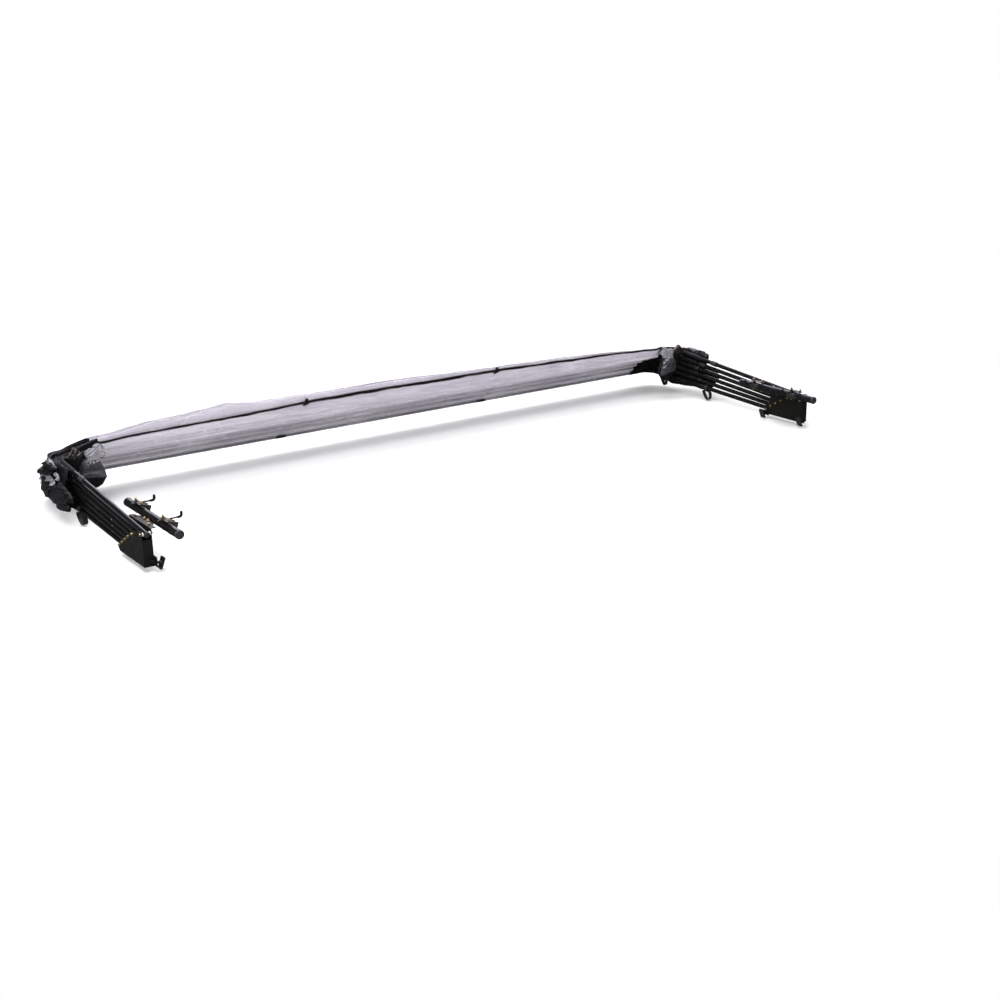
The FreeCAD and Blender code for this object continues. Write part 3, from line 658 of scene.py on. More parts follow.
def sheet(bay, lead_side, stops, rows):
    """Stowed points over half of a bay, their blend weights, and their places along and across.

    lead_side is the half sewn to the bay's first hoop, otherwise it is sewn to the next. A point keeps its
    distance from its own hoop's pivot line. Its weight is the share of its hoop's swing that would put it on the
    taut sheet between the two hoops when the canopy is closed, so the stowed folds would open out flat; nothing
    here applies it."""
    own, other = (bay, bay + 1) if lead_side else (bay + 1, bay)
    width = SPLIT[bay] if lead_side else 1 - SPLIT[bay]
    s, t = np.meshgrid(stops, np.linspace(0, 1, rows + 1), indexing="ij")
    share = width * t if lead_side else 1 - width * t
    hoop_x, hoop_r = outline(s, ARM_START[bay] * (1 - share) + ARM_START[bay + 1] * share)
    end = smooth((np.abs(s) - (STRAIGHT - 0.06)) / (ARC + 0.11))   # 0 on the tube, 1 on the arm
    seed = 100 + 10 * bay + (0 if lead_side else 5)

    # closed place, as distance and angle about the own pivot
    first_y, first_z = closed_point(bay, hoop_r)
    next_y, next_z = closed_point(bay + 1, hoop_r)
    pivot_y, pivot_z = PIVOT[own]
    closed_y = (1 - share) * first_y + share * next_y - pivot_y
    closed_z = (1 - share) * first_z + share * next_z - pivot_z
    closed_angle = np.arctan2(closed_z, closed_y)
    closed_angle = np.where(closed_angle < -0.5, closed_angle + 2 * math.pi, closed_angle)

    # stowed distance from the pivot: pleats long in x, diagonal folds and a slow swell
    bell = np.sin(math.pi * t)
    across = t * width * FIBRE
    edge_in = smooth(t / 0.10) * smooth((1 - t) / 0.10)
    pleats = 0.0065 * folds(hoop_x * 0.22, across + 0.02 * fbm(hoop_x * 0.9, 0, seed + 1, 2),
                            seed, wave=0.052, warp=0.6)
    diagonal = 0.0050 * folds(hoop_x + 2.2 * across, across * 2.0 + 0.28 * hoop_x, seed + 2,
                              wave=0.16, warp=0.9)
    swell = 0.010 * bell * fbm(hoop_x * 1.1, t * 1.2 + 3, seed, 2)
    if not (bay == 0 and lead_side):
        swell = swell + 0.014 * (-1 if lead_side else 1) * bell * (1 - end)
    radius = np.hypot(closed_y, closed_z) + swell + edge_in * (pleats + diagonal)

    # stowed height, from the long tube round to the arm
    own_sin, other_sin = math.sin(STOWED[own]), math.sin(STOWED[other])
    z_long = gathered_height(bay, lead_side, hoop_x, pivot_y + radius * math.cos(STOWED[own]),
                             t, across, pivot_z + REACH * own_sin, edge_in, seed)
    own_z = pivot_z + hoop_r * own_sin
    other_z = PIVOT[other][1] + hoop_r * other_sin
    pleat_z, pleat_out = arm_pleats(bay, lead_side, s, hoop_r, t, seed)
    z_arm = own_z + (other_z - own_z) * width * t + pleat_z
    z = z_long * (1 - end) + z_arm * end
    x = hoop_x + np.sign(s) * pleat_out * end
    x = x + (1 - end) * bell * 0.010 * fbm(hoop_x * 2.0 + 9, t * 2, seed + 20, 2)
    angle = np.arcsin(np.clip((z - pivot_z) / radius, -1, 1))
    y = pivot_y + radius * np.cos(angle)

    # the sewn edge turns with its hoop
    sewn = (angle[:, :1] - STOWED[own]) * (1 - smooth(t / 0.22))
    weight = (closed_angle + sewn - angle) / TRAVEL[own]

    # creases pressed into the cloth where it is bunched
    points = np.stack([x, y, z], -1)
    crease = 0.0120 * folds(s + across * 0.5, across * 0.9 + 0.45 * s, seed + 22,
                            wave=0.085, warp=0.8)
    crease = crease + 0.0045 * folds(s - across, across * 0.8 - 0.6 * s, seed + 25,
                                     wave=0.046, warp=1.0)
    crease = crease + 0.0016 * folds(s + 2 * across, across - 0.8 * s, seed + 28,
                                     wave=0.022, warp=1.2)
    points = points + grid_normals(points) * (crease * end * edge_in)[..., None]
    return points, weight, s, share


def set_weights(ob, weight):
    """Bakes an object's transform and repeats its weights over both faces of a shell; the weights are not stored,
    so nothing blends from root to a hoop.
    """
    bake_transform(ob)
    weight = np.asarray(weight, np.float32).ravel()
    weight = np.concatenate([weight] * (len(ob.data.vertices) // len(weight)))


def half_bay(name, bay, lead_side, stops, row_step, row_range, thick, mat, hemmed):
    """Half of a bay as a thin shell; hemmed tells where along the hoop it carries hem tape."""
    width = SPLIT[bay] if lead_side else 1 - SPLIT[bay]
    rows = int(np.clip(round(width * FIBRE / row_step), *row_range))
    points, weight, s, share = sheet(bay, lead_side, stops, rows)
    cell_mats = np.where(hemmed(np.abs(s[:-1, :-1] + s[1:, 1:]) / 2), 1, 0)
    ob = shell(name, points, thick, [mat, HEM], np.stack([s, share * FIBRE], -1), cell_mats)
    set_weights(ob, weight)
    return ob


def build_bay(bay, lead_side):
    half = "lead" if lead_side else "trail"
    # clear film over the long tube
    film = half_bay("canopy_bay_%d_%s" % (bay + 1, half), bay, lead_side,
                    stations(-CUFF_X - 0.012, CUFF_X + 0.012, 0.0165),
                    row_step=0.012, row_range=(12, 46), thick=0.0012, mat=FILM,
                    hemmed=lambda a: a > CUFF_X - 0.022)
    if lead_side:
        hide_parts("film_bay_%d" % (bay + 1))
    # black cloth round each corner and along the arms
    for side, side_name in SIDES:
        stops = stations(CUFF_X, S_END, 0.0075)
        cloth = half_bay("end_cloth_%s_%d_%s" % (side_name, bay + 1, half), bay, lead_side,
                         stops if side > 0 else -stops[::-1],
                         row_step=0.0085, row_range=(14, 64), thick=0.0022, mat=CLOTH,
                         hemmed=lambda a: (a < CUFF_X + 0.020) | (a > S_END - 0.022))
        if bay == 1 and lead_side:
            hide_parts(side_name + "_end_cloth")


def sleeve(name, k, s, radii, sides, mat):
    """A sleeve round hoop k, closed down to the tube at both ends."""
    radii[0] = radii[-1] = TUBE_R + 0.0003
    x, r = outline(s, ARM_START[k])
    path = np.stack([x, PIVOT[k][0] + r * math.cos(STOWED[k]),
                     PIVOT[k][1] + r * math.sin(STOWED[k])], -1)
    ob = tube(name, path, radii, sides, mat)
    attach(ob, "hoop_%d" % (k + 1))


def build_sleeves(k):
    """Film sleeve along the long tube, black cloth ones on the corners and arms."""
    s = stations(-CUFF_X - 0.01, CUFF_X + 0.01, 0.025)
    radii = 0.0172 + 0.0012 * (fbm(s * 14, k, 900 + k, 3) + 0.6)
    sleeve("tube_sleeve_%d" % (k + 1), k, s, radii, 16, FILM)
    for side, side_name in SIDES:
        s = stations(CUFF_X, S_END, 0.010) * side
        radii = 0.0176 + 0.0022 * (fbm(s * 26, k, 930 + k, 3) + 0.5)
        radii = radii + 0.0012 * (np.abs(np.abs(s) - S_END) < 0.02)
        sleeve("cuff_sleeve_%s_%d" % (side_name, k + 1), k, s, radii, 18, HEM)


for k in range(HOOPS - 1):
    for lead_side in (True, False):
        build_bay(k, lead_side)
for k in range(HOOPS):
    build_sleeves(k)

# ------------------------------------------------------------------ front flap, hem and clips
# (x, height of the hem)
HEM_LINE = [
    (-2.43, -0.095), (-2.376, -0.080), (-2.311, -0.066), (-2.248, -0.060), (-2.175, -0.053),
    (-2.0, -0.040), (-1.5, -0.033), (-1.2, -0.030), (-0.95, -0.018), (-0.677, -0.013),
    (-0.441, -0.014), (-0.059, -0.017), (0.339, -0.019), (0.755, -0.018), (1.25, -0.030),
    (1.6, -0.040), (2.0, -0.052), (2.2, -0.066), (2.34, -0.085), (2.43, -0.100)]
HEM_Y = 1.086
FLAP_ROOT = (1.113, -0.1285)    # (y, z) of the flap's lower edge


def hem_point(x):
    """(y, z) of the hem at x; it steps towards +Y near the corners."""
    z = table_at(x, HEM_LINE) + 0.0035 * fbm(x * 5.0, 4, 41, 3)
    y = HEM_Y + 0.006 * fbm(x * 3.0, 8, 43, 3)
    corner = smooth((np.abs(x) - 2.16) / 0.26)
    return y + 0.055 * smooth((np.abs(x) - 2.12) / 0.12) * (1 - 0.4 * corner), z


def front_flap():
    """Clear flap on the -Y side of the first hoop, rising from its root to the hem."""
    x, t = np.meshgrid(stations(-2.155, 2.20, 0.012), np.linspace(0, 1, 17), indexing="ij")
    hem_y, hem_z = hem_point(x)
    root_y, root_z = FLAP_ROOT
    bell = np.sin(math.pi * t)
    y = root_y + (hem_y - root_y) * np.sin(t * math.pi / 2) ** 0.9 - 0.010 * bell
    z = root_z + (hem_z - root_z) * t
    lengthwise = folds(x * 0.3, t * 0.10 + 0.02 * fbm(x * 2, 0, 60, 2), 61, wave=0.034, warp=0.8)
    slanting = folds(x + t * 0.2, t * 0.1 + 0.25 * x, 62, wave=0.07, warp=1.1)
    y = y - bell ** 0.5 * (0.0070 * lengthwise + 0.0060 * slanting)
    ob = shell("front_flap", np.stack([x, y, z], -1), 0.0012, [FILM],
               np.stack([x, t * 0.11], -1))
    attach(ob, "hoop_1")


def front_hem():
    """Folded tape along the flap's free edge, puckered by its stitching."""
    x = stations(-2.41, 2.36, 0.008)
    y, z = hem_point(x)
    pucker = 0.0005 * np.sin(x * 2 * math.pi / 0.024) + 0.0018 * fbm(x * 9, 0, 77, 2)
    tall = 0.0085 + 0.0030 * smooth((x + 0.95) / 0.4) * smooth((1.1 - x) / 0.5)
    tall = tall + 0.0015 * fbm(x * 6, 3, 78, 2)
    sides = 14
    angle = circle(sides)
    ring_x = np.repeat(x, sides).reshape(-1, sides)
    ring_y = (y + pucker)[:, None] + np.cos(angle) * 0.0032
    ring_z = z[:, None] + np.sin(angle) * tall[:, None]
    # wound the other way round, from the same first corner
    faces = [quad[:1] + quad[:0:-1] for quad in ring_faces(len(x), sides)]
    faces.append(tuple(range(sides)))
    faces.append(tuple(range((len(x) - 1) * sides, len(x) * sides))[::-1])
    uv = np.stack([ring_x.ravel(), np.tile(0.004 * np.arange(sides), len(x))], 1)
    verts = np.stack([ring_x, ring_y, ring_z], -1).reshape(-1, 3)
    ob = new_object("front_hem", verts, faces, [HEM], uv)
    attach(ob, "hoop_1")


def hem_clip(number, centre_x):
    """A clip pinched over the hem, tapering upwards."""
    hem_y, hem_z = (c[0] for c in hem_point(np.array([centre_x])))
    angle = circle(20)
    rings = []
    for t in np.linspace(0, 1, 9):
        x = squared(np.cos(angle), 0.6) * (0.021 * (1 - 0.70 * t) + 0.0015)
        y = squared(np.sin(angle), 0.6) * 0.0085 * (1 - 0.35 * t)
        rings.append(np.stack([centre_x + x + 0.006 * t,
                               hem_y - 0.004 - 0.006 * math.sin(t * 2.4) + y,
                               hem_z - 0.013 + 0.040 * t + 0.2 * x * (1 - t)], -1))
    ob = loft("hem_clip_%d" % number, rings, [CLIP])
    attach(ob, "hoop_1")


front_flap()
front_hem()
hem_clip(1, -0.80)
hem_clip(2, 0.675)


# ------------------------------------------------------------------ corner bunches
def mirror(points, side):
    """Points given for the left side, moved to the given side."""
    return np.array(points, float) * np.array([-side, 1, 1])


def gather_weights(ob, hoop, keep):
    """Weights for the closed shape of a hanging piece, with its height folded down to keep of itself at its hoop;
    set_weights does not store them.
    """
    co = np.zeros(len(ob.data.vertices) * 3)
    ob.data.vertices.foreach_get("co", co)
    co = co.reshape(-1, 3) - SHIFT
    angle = np.arctan2(co[:, 2] - PIVOT[hoop][1], co[:, 1] - PIVOT[hoop][0])
    target = STOWED[hoop] + TRAVEL[hoop] + (angle - STOWED[hoop]) * keep
    set_weights(ob, (target - angle) / TRAVEL[hoop])


# A pad's shape: where its grid points spread to, how far its outline reaches, and its creases.
def folded(u, w, size, seed, wrinkle, wave, ragged):
    """A four-cornered patch with a ragged edge and three scales of folds."""
    angle = np.arctan2(w - 0.5, u - 0.5)
    a, b = u * size, w * size
    reach = 1 + ragged / size * 6 * fbm(np.cos(angle) * 2.5, np.sin(angle) * 2.5, seed, 3)
    large = folds(0.45 * a, b + 0.18 * a, seed + 1, wave=wave * 1.2, warp=0.8)
    middle = folds(0.5 * a - 0.3 * b, b * 0.8 - a * 0.35, seed + 2, wave=wave * 0.75, warp=0.9)
    small = folds(0.6 * a, a * 0.3 + b, seed + 3, wave=wave * 0.4, warp=1.0)
    return u, w, reach, wrinkle * (1.5 * large + 0.7 * middle + 0.16 * small)


def bunched(u, w, size, seed, wrinkle, wave):
    """A rounded lobe with ridges that fan out to both ends."""
    angle = np.arctan2(w - 0.5, u - 0.5)
    cos, sin = np.cos(angle), np.sin(angle)
    from_u, from_w = 2 * u - 1, 2 * w - 1
    spread_u = 0.5 + 0.62 * from_u * np.sqrt(1 - 0.46 * from_w * from_w)
    spread_w = 0.5 + 0.62 * from_w * np.sqrt(1 - 0.46 * from_u * from_u)
    reach = 1 + 0.13 * vnoise(cos * 1.2 + 3, sin * 1.2, seed)
    reach = reach + 0.035 * vnoise(cos * 3.1, sin * 3.1 + 5, seed + 4)
    count = max(2.0, 0.55 * size / wave)
    bow = 0.16 * np.sin(math.pi * u) * (1 if seed % 2 else -1)
    bent = w + bow + 0.07 * vnoise(u * 1.7, w * 1.3, seed + 5)
    fan = 0.72 + 0.28 * np.abs(from_u)
    ridge = 1 - np.abs(np.sin(math.pi * (count * (bent - 0.5) * fan + 0.3))) ** 1.3
    wobble = 0.5 * vnoise(u * 2.2, w * 2.2, seed + 6)
    ripple = 0.5 + 0.5 * np.sin(math.pi * (2.3 * count * (bent - 0.5) + 1.1 * u + wobble))
    ripple = ripple * (0.5 + 0.5 * vnoise(u * 2, w * 2, seed + 8))
    return spread_u, spread_w, reach, wrinkle * (1.25 * ridge + 0.28 * ripple - 0.6)


def pad(name, corners, outward, puff, fullness, grid, shape, mats, hoop, keep, slot, hem=None,
        **creasing):
    """A puffed, creased closed form over four corner points, with weights worked out towards a hoop but not
    stored.

    A lower fullness fills it out to the rim; hem tells which (u, w) take the second material."""
    line = np.linspace(0, 1, grid)
    u, w = np.meshgrid(line, line, indexing="ij")
    size = np.linalg.norm(corners[2] - corners[0])
    spread_u, spread_w, reach, crease = shape(u, w, size, **creasing)
    near = corners[0] + (corners[1] - corners[0]) * spread_u[..., None]
    far = corners[3] + (corners[2] - corners[3]) * spread_u[..., None]
    points = near + (far - near) * spread_w[..., None]
    middle = corners.mean(0)
    points = middle + (points - middle) * reach[..., None]
    rim = np.sqrt(np.clip(1 - (2 * u - 1) ** 2, 0, 1) * np.clip(1 - (2 * w - 1) ** 2, 0, 1))
    body = puff * rim ** fullness
    outward = unit(np.array(outward, float))
    front = points + outward * (body + crease * np.minimum(1, 2 * rim))[..., None]
    back = points - outward * (0.45 * body + 0.0015 + 0.4 * crease * rim)[..., None]
    verts = np.concatenate([front.reshape(-1, 3), back.reshape(-1, 3)])
    faces = skin_faces(grid, grid, rim_order=(0, 1, 2, 3))
    grid_uv = np.concatenate([np.stack([u, w], -1).reshape(-1, 2)] * 2)
    face_mats = None
    if hem is not None:
        face_mats = [1 if hem(*centre) else 0 for centre in grid_uv[faces].mean(1)]
    ob = new_object(name, verts, faces.tolist(), mats, grid_uv * size, face_mats)
    gather_weights(ob, hoop, keep)


# Corner points of the pads, each (x, y, z) on the left side.
POCKET_CORNERS = [(-2.376, 1.072, -0.100), (-2.330, 1.070, -0.044),
                  (-2.266, 1.072, -0.092), (-2.306, 1.072, -0.176)]
TAB_CORNERS = [(-2.286, 1.076, -0.088), (-2.260, 1.074, -0.071),
               (-2.238, 1.076, -0.094), (-2.266, 1.078, -0.120)]
# Knot lobes: name, corners, puff, wrinkle depth, wrinkle spacing, where the hem tape shows. These hem tape bands
# along some lobe edges are partly real hem and partly painted shade, standing in for dark streaks in the knot's
# valleys.
KNOTS = [
    ("a", [(-2.222, 1.062, -0.070), (-2.186, 1.060, -0.042),
           (-2.144, 1.060, -0.072), (-2.184, 1.062, -0.120)],
     0.016, 0.0085, 0.0125, lambda u, w: u > 0.93 and w > 0.35),
    ("b", [(-2.212, 1.052, -0.080), (-2.160, 1.050, -0.072),
           (-2.150, 1.050, -0.124), (-2.206, 1.052, -0.130)],
     0.015, 0.0080, 0.0110, lambda u, w: w > 0.90 or (u > 0.93 and w > 0.5)),
    ("c", [(-2.270, 1.054, -0.084), (-2.222, 1.050, -0.058),
           (-2.176, 1.050, -0.098), (-2.246, 1.052, -0.134)], 0.015, 0.0085, 0.0115, None),
    ("d", [(-2.254, 1.044, -0.104), (-2.206, 1.040, -0.094),
           (-2.186, 1.042, -0.146), (-2.246, 1.046, -0.152)], 0.011, 0.0065, 0.0105, None)]
# Loose pieces: name, corners, puff, hoop index. Lobes are black cloth, slips are film.
LOOSE = [
    ("lobe_a", [(-2.482, 1.190, -0.222), (-2.482, 1.110, -0.226),
                (-2.482, 1.030, -0.268), (-2.482, 1.130, -0.330)], 0.026, 5),
    ("lobe_b", [(-2.480, 1.235, -0.192), (-2.480, 1.150, -0.150),
                (-2.480, 1.010, -0.150), (-2.480, 1.150, -0.205)], 0.026, 3),
    ("lobe_c", [(-2.480, 1.165, -0.134), (-2.480, 1.075, -0.098),
                (-2.480, 0.930, -0.112), (-2.480, 1.090, -0.160)], 0.022, 2),
    ("lobe_d", [(-2.474, 1.085, -0.258), (-2.474, 0.950, -0.226),
                (-2.468, 0.790, -0.335), (-2.470, 1.000, -0.366)], 0.024, 5),
    ("lobe_e", [(-2.470, 0.985, -0.215), (-2.470, 0.860, -0.195),
                (-2.466, 0.740, -0.270), (-2.468, 0.900, -0.300)], 0.020, 4),
    ("slip_a", [(-2.474, 1.240, -0.212), (-2.474, 1.120, -0.182),
                (-2.474, 0.990, -0.222), (-2.474, 1.230, -0.290)], 0.012, 4),
    ("slip_b", [(-2.474, 1.150, -0.116), (-2.474, 1.060, -0.086),
                (-2.474, 0.980, -0.116), (-2.474, 1.090, -0.148)], 0.012, 3),
    ("slip_c", [(-2.466, 1.005, -0.158), (-2.466, 0.972, -0.152),
                (-2.466, 0.945, -0.184), (-2.466, 0.985, -0.196)], 0.007, 3)]
# The pouch's outer and inner outlines: (fraction down it, x, z) on the left side.
POUCH_OUTER = [(0, -2.252, -0.112), (0.15, -2.290, -0.142), (0.35, -2.304, -0.180),
               (0.6, -2.299, -0.228), (0.85, -2.264, -0.276), (1, -2.236, -0.300)]
POUCH_INNER = [(0, -2.196, -0.122), (0.15, -2.170, -0.158), (0.35, -2.152, -0.203),
               (0.6, -2.143, -0.250), (0.85, -2.174, -0.294), (1, -2.208, -0.308)]
POUCH_Y = 1.066


def corner_patches(side, side_name, seed):
    """A pocket of black cloth folded over the corner, with a small tab beside it. Its upper part is a lighter,
    glossier brown copy of the cloth as painted highlight; hem picks the lower part, which is plain black cloth.
    """
    pad("corner_pocket_" + side_name, mirror(POCKET_CORNERS, side), (0.0, -1, 0.15),
        puff=0.024, fullness=0.42, grid=52, shape=folded, mats=[POCKET_PAINTED_HIGHLIGHT, CLOTH], hoop=0,
        keep=0.35, slot="black_cloth", hem=lambda u, w: w - u > 0.12,
        seed=500 + seed, wrinkle=0.0065, wave=0.034, ragged=0.002)
    pad("corner_tab_" + side_name, mirror(TAB_CORNERS, side), (0.0, -1, 0.0),
        puff=0.009, fullness=0.7, grid=20, shape=folded, mats=[CLOTH], hoop=0,
        keep=0.5, slot="black_cloth", seed=505 + seed, wrinkle=0.002, wave=0.02, ragged=0.006)


def film_knot(side, side_name, seed):
    """Crumpled lobes of clear film, gathered where the pouch hangs."""
    for i, (letter, corners, puff, wrinkle, wave, hem) in enumerate(KNOTS):
        pad("film_knot_%s_%s" % (letter, side_name), mirror(corners, side), (0.0, -1, 0.1),
            puff=puff, fullness=0.5, grid=44, shape=bunched, mats=[KNOT, HEM], hoop=0,
            keep=0.4, slot="clear_film", hem=hem,
            seed=520 + 9 * i + seed, wrinkle=wrinkle, wave=wave)


def pouch_hem(t, j):
    """Deep scalloped hem round the bottom, and a narrow band down the inner edge."""
    scallop = 0.10 * (1 - abs(2 * abs(2 * j - 1) - 1))
    return 1 if t > 0.66 - scallop or abs(j - 0.5) < 0.035 else 0


def corner_pouch(side, side_name, seed):
    """Smoky pouch of film that hangs from the knot."""
    down, outer_x, outer_z = zip(*POUCH_OUTER)
    _, inner_x, inner_z = zip(*POUCH_INNER)
    angle = circle(72)
    inward = (1 - np.cos(angle)) / 2
    face = np.sign(np.sin(angle)) * 0.4     # sets the two faces' folds apart
    rings = []
    for i in range(58):
        t = i / 57
        left, right = np.interp(t, down, outer_x), np.interp(t, down, inner_x)
        top, bottom = np.interp(t, down, outer_z), np.interp(t, down, inner_z)
        deep = 0.012 + 0.034 * math.sin(math.pi * min(1, 0.08 + t * 0.92)) ** 0.8
        hanging = folds(t * 0.2, inward * 0.15 + face, 540 + seed, wave=0.034, warp=0.9 + 1.2 * t)
        slanting = folds(t * 0.15 + inward * 0.1, inward * 0.12 - t * 0.14, 545 + seed,
                         wave=0.03, warp=1.4)
        crease = 0.010 * hanging * (0.35 + 0.65 * (1 - t)) + 0.006 * slanting
        rings.append(np.stack([left + (right - left) * inward,
                               POUCH_Y + np.sin(angle) * (deep + crease),
                               top + (bottom - top) * inward], -1))
    ob = loft("corner_pouch_" + side_name, mirror(rings, side), [SMOKE, HEM], pouch_hem)
    gather_weights(ob, 0, 0.12)


def loose_pieces(side, side_name, seed):
    """Black lobes and slips of film thrown outwards beyond the arms."""
    for i, (name, corners, puff, hoop) in enumerate(LOOSE):
        slip = "slip" in name
        pad("%s_%s" % (name, side_name), mirror(corners, side), (side, 0, 0),
            puff=puff, fullness=0.5, grid=44, shape=bunched, mats=[KNOT if slip else CLOTH],
            hoop=hoop, keep=0.12 if slip else 0.35, slot="clear_film" if slip else "black_cloth",
            seed=560 + 7 * i + seed, wrinkle=0.013, wave=0.042)


for side, side_name in SIDES:
    side_seed = 0 if side < 0 else 70
    for build in (corner_patches, film_knot, corner_pouch, loose_pieces):
        build(side, side_name, side_seed)


# ------------------------------------------------------------------ hook tips and rivets
def hook_tip(name, side, y):
    """Vinyl-dipped tip on a hook rod: out from the rod, round a bend and up to a dome."""
    base_z = -0.1715
    bend, bend_x = 0.012, 2.209     # bend radius, and where the bend starts
    # (x on the right side, height) along the centre line
    line = [(x, 0.0) for x in (2.2230, 2.2222, 2.2205, 2.2160, 2.2120)]
    line += [(bend_x - bend * math.sin(a), bend - bend * math.cos(a))
             for a in np.linspace(0, math.pi / 2, 10)]
    line += [(bend_x - bend, z)
             for z in (0.014, 0.017, 0.020, 0.0235, 0.0262, 0.0284, 0.0299, 0.0307)]
    radii = np.array([0.0048, 0.0056, 0.0062, 0.0066, 0.0069] + [0.0072] * 10
                     + [0.0073, 0.0074, 0.0075, 0.0074, 0.0068, 0.0056, 0.0036, 0.0008])
    path = [(side * x, y, base_z + z) for x, z in line]
    ob = tube(name, path, radii, 24, CLIP, cap=True)
    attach(ob, "root")


def arm_rivet(side, side_name, k):
    """Dome-headed rivet on the outer face of hoop k's arm."""
    y, sides = 0.297, 18
    z = arm_z(k, y)
    angle = circle(sides)
    # (radius, height above the tube) from the sunk rim up to the crown
    profile = [(0.0029, -0.0012), (0.0029, 0.0004), (0.0025, 0.0012), (0.0016, 0.0018),
               (0.0006, 0.0020)]
    rings = [np.stack([np.full(sides, side * (ARM_X + TUBE_R + height - 0.0003)),
                       y + r * np.cos(angle) * side, z + r * np.sin(angle)], -1)
             for r, height in profile]
    ob = loft("arm_rivet_%s_%d" % (side_name, k + 1), rings, [ZINC])
    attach(ob, "hoop_%d" % (k + 1))


for side, side_name in SIDES:
    for i, y in enumerate((0.209, -0.151)):
        hook_tip("hook_tip_%s_%d" % (side_name, i + 1), side, y)
for side, side_name in SIDES:
    for k in (2, 3, 4):
        arm_rivet(side, side_name, k)

# ------------------------------------------------------------------ webbing loops
LOW = HOOPS - 1         # the lowest hoop, which carries the loops
LOOPS = ((0.815, 0.150, 0.062), (1.300, 0.110, 0.060))      # (y, span along the arm, drop)
# Side outline of a bight: (half spans along the arm, drops above the underside)
BIGHT = np.array([
    (0.46, -0.02), (0.24, 0.0), (0.0, 0.0), (-0.24, 0.0), (-0.42, -0.02), (-0.50, -0.14),
    (-0.55, -0.42), (-0.52, -0.72), (-0.38, -0.96), (-0.12, -1.0), (0.16, -0.80), (0.40, -0.48),
    (0.53, -0.18)])


def closed_spline(points, count):
    """Catmull-Rom curve round a closed list of points."""
    place = np.linspace(0, len(points), count + 1)[:-1]
    start = place.astype(int)
    f = (place - start)[:, None]
    before, a, b, after = (points[(start + step) % len(points)] for step in (-1, 0, 1, 2))
    return 0.5 * (2 * a + (b - before) * f + (2 * before - 5 * a + 4 * b - after) * f * f
                  + (3 * a - before - 3 * b + after) * f ** 3)


def webbing_loop(side, side_name, i):
    """A wide strap hanging in a slack bight under the arm, and the band that holds it."""
    centre_y, span, drop = LOOPS[i]
    along, up = closed_spline(BIGHT, 96).T
    y = centre_y + along * span * 0.5
    x = side * (ARM_X + 0.004 * np.sin(3 * along + i))
    path = np.stack([x, y, arm_z(LOW, y) - 0.0215 + up * drop], 1)
    ob = strap("webbing_loop_%s_%d" % (side_name, i + 1), path, 0.030, 0.0024, (1, 0, 0))
    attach(ob, "hoop_6")
    if side < 0 and i == 0:
        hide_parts("webbing_loops")
    radius = 0.0205
    path = [(side * ARM_X + radius * math.sin(a), centre_y,
             arm_z(LOW, centre_y) + radius * math.cos(a)) for a in circle(48)]
    ob = strap("webbing_band_%s_%d" % (side_name, i + 1), path, 0.034, 0.0018,
               (0, 1, math.tan(STOWED[LOW])))
    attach(ob, "hoop_6")


for side, side_name in SIDES:
    for i in range(len(LOOPS)):
        webbing_loop(side, side_name, i)


# ------------------------------------------------------------------ stage
def floor_material():
    """Pale floor, dark in reflections, that fades to white away from the product."""
    mat, tree = material("floor")
    rays = add(tree, "LightPath").outputs
    colour = mix(tree, rays["Is Glossy Ray"], (0.93, 0.93, 0.93), (0.055, 0.053, 0.056))
    body = add(tree, "BsdfPrincipled", {"Base Color": colour, "Roughness": 0.75})
    white = add(tree, "Emission")
    away = add(tree, "VectorMath", {0: coords(tree)}, operation="LENGTH").outputs["Value"]
    fade = remap(tree, away, source=(2.4, 5.5), interpolation_type="SMOOTHSTEP")
    fade = calc(tree, "MULTIPLY", fade, rays["Is Camera Ray"])
    blend = add(tree, "MixShader", {0: fade, 1: body.outputs[0], 2: white.outputs[0]})
    tree.links.new(blend.outputs[0], tree.nodes[0].inputs[0])
    return mat


def build_floor():
    z = -0.004
    mesh = bpy.data.meshes.new("floor")
    mesh.from_pydata([(-60, -60, z), (60, -60, z), (60, 90, z), (-60, 90, z)], [], [(0, 1, 2, 3)])
    floor = bpy.data.objects.new("floor", mesh)
    bpy.context.scene.collection.objects.link(floor)
    mesh.materials.append(floor_material())


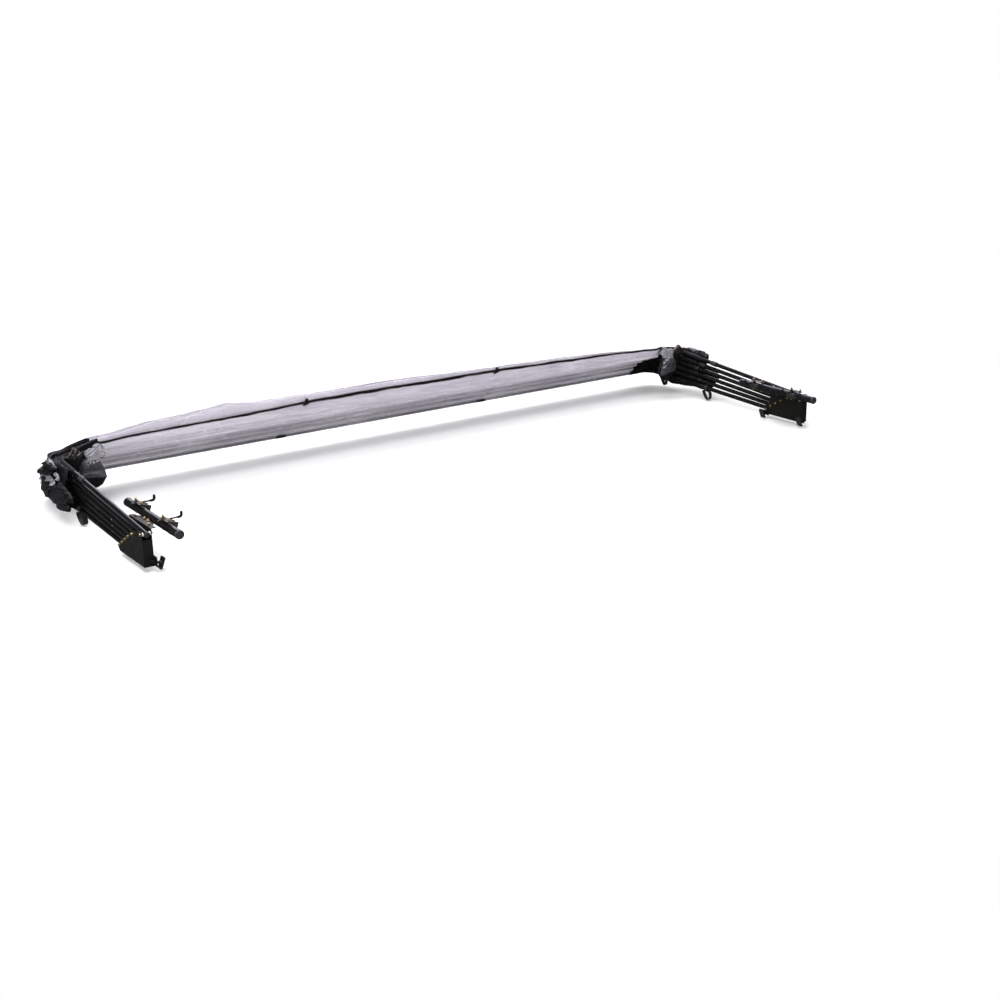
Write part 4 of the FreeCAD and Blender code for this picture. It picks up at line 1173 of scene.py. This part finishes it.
def build_world():
    """White to the camera, soft grey as light, and in reflections dark with a glow up high."""
    world = bpy.data.worlds.new("studio")
    bpy.context.scene.world = world
    world.use_nodes = True
    tree = world.node_tree
    rays = add(tree, "LightPath").outputs
    v = coords(tree, "Generated")
    height = add(tree, "SeparateXYZ", {0: v}).outputs[2]
    sky = ramp(tree, height, [(0.0, (0.02, 0.02, 0.022)), (0.62, (0.05, 0.048, 0.055)),
                              (0.93, (0.9, 0.88, 1.0))])
    glow_dir = Vector((0.50, 0.78, 0.40)).normalized()
    dot = add(tree, "VectorMath", {0: v, 1: glow_dir}, operation="DOT_PRODUCT")
    glow = ramp(tree, dot.outputs["Value"], [(0.86, 0), (0.97, (2.2, 2.1, 2.5))])
    sky = mix(tree, 1.0, sky, glow, blend="ADD")
    soft = mix(tree, rays["Is Camera Ray"], (0.84, 0.84, 0.84), (1.0, 1.0, 1.0))
    background = tree.nodes["Background"]
    tree.links.new(mix(tree, rays["Is Glossy Ray"], soft, sky), background.inputs[0])
    background.inputs[1].default_value = 1.0


def area(name, place, target, size, energy, colour=(1, 1, 1), size_y=None):
    light = bpy.data.lights.new(name, "AREA")
    light.energy = energy
    light.color = colour
    light.size = size
    if size_y:
        light.shape = "RECTANGLE"
        light.size_y = size_y
    ob = bpy.data.objects.new(name, light)
    bpy.context.scene.collection.objects.link(ob)
    ob.location = place
    ob.rotation_euler = (Vector(target) - Vector(place)).to_track_quat("-Z", "Y").to_euler()


def build_camera():
    data = bpy.data.cameras.new("camera")
    data.sensor_width = 36.0
    data.lens = 53.62
    data.clip_start = 0.05
    data.clip_end = 300.0
    camera = bpy.data.objects.new("camera", data)
    bpy.context.scene.collection.objects.link(camera)
    camera.matrix_world = Matrix((
        (0.8178, 0.1853, -0.5449, -5.0603),
        (-0.5753, 0.2394, -0.7821, -7.1733 + SHIFT[1]),
        (-0.0145, 0.9531, 0.3024, 2.2381 + SHIFT[2]),
        (0, 0, 0, 1)))
    bpy.context.scene.camera = camera


build_floor()
build_world()
area("key", place=(-4.5, -4.0, 6.5), target=(0, 0.2, 0.2), size=4.0, energy=420.0)
area("top", place=(0.5, 1.5, 5.5), target=(0, 0.3, 0.2), size=6.0, size_y=3.0, energy=260.0,
     colour=(1.0, 0.99, 1.0))
area("rim", place=(-6.5, 2.5, 2.6), target=(-2.3, 0.2, 0.2), size=2.2, energy=120.0,
     colour=(0.97, 0.97, 1.0))
build_camera()
bpy.context.scene.view_settings.view_transform = "Standard"
bpy.context.scene.cycles.transparent_max_bounces = 24
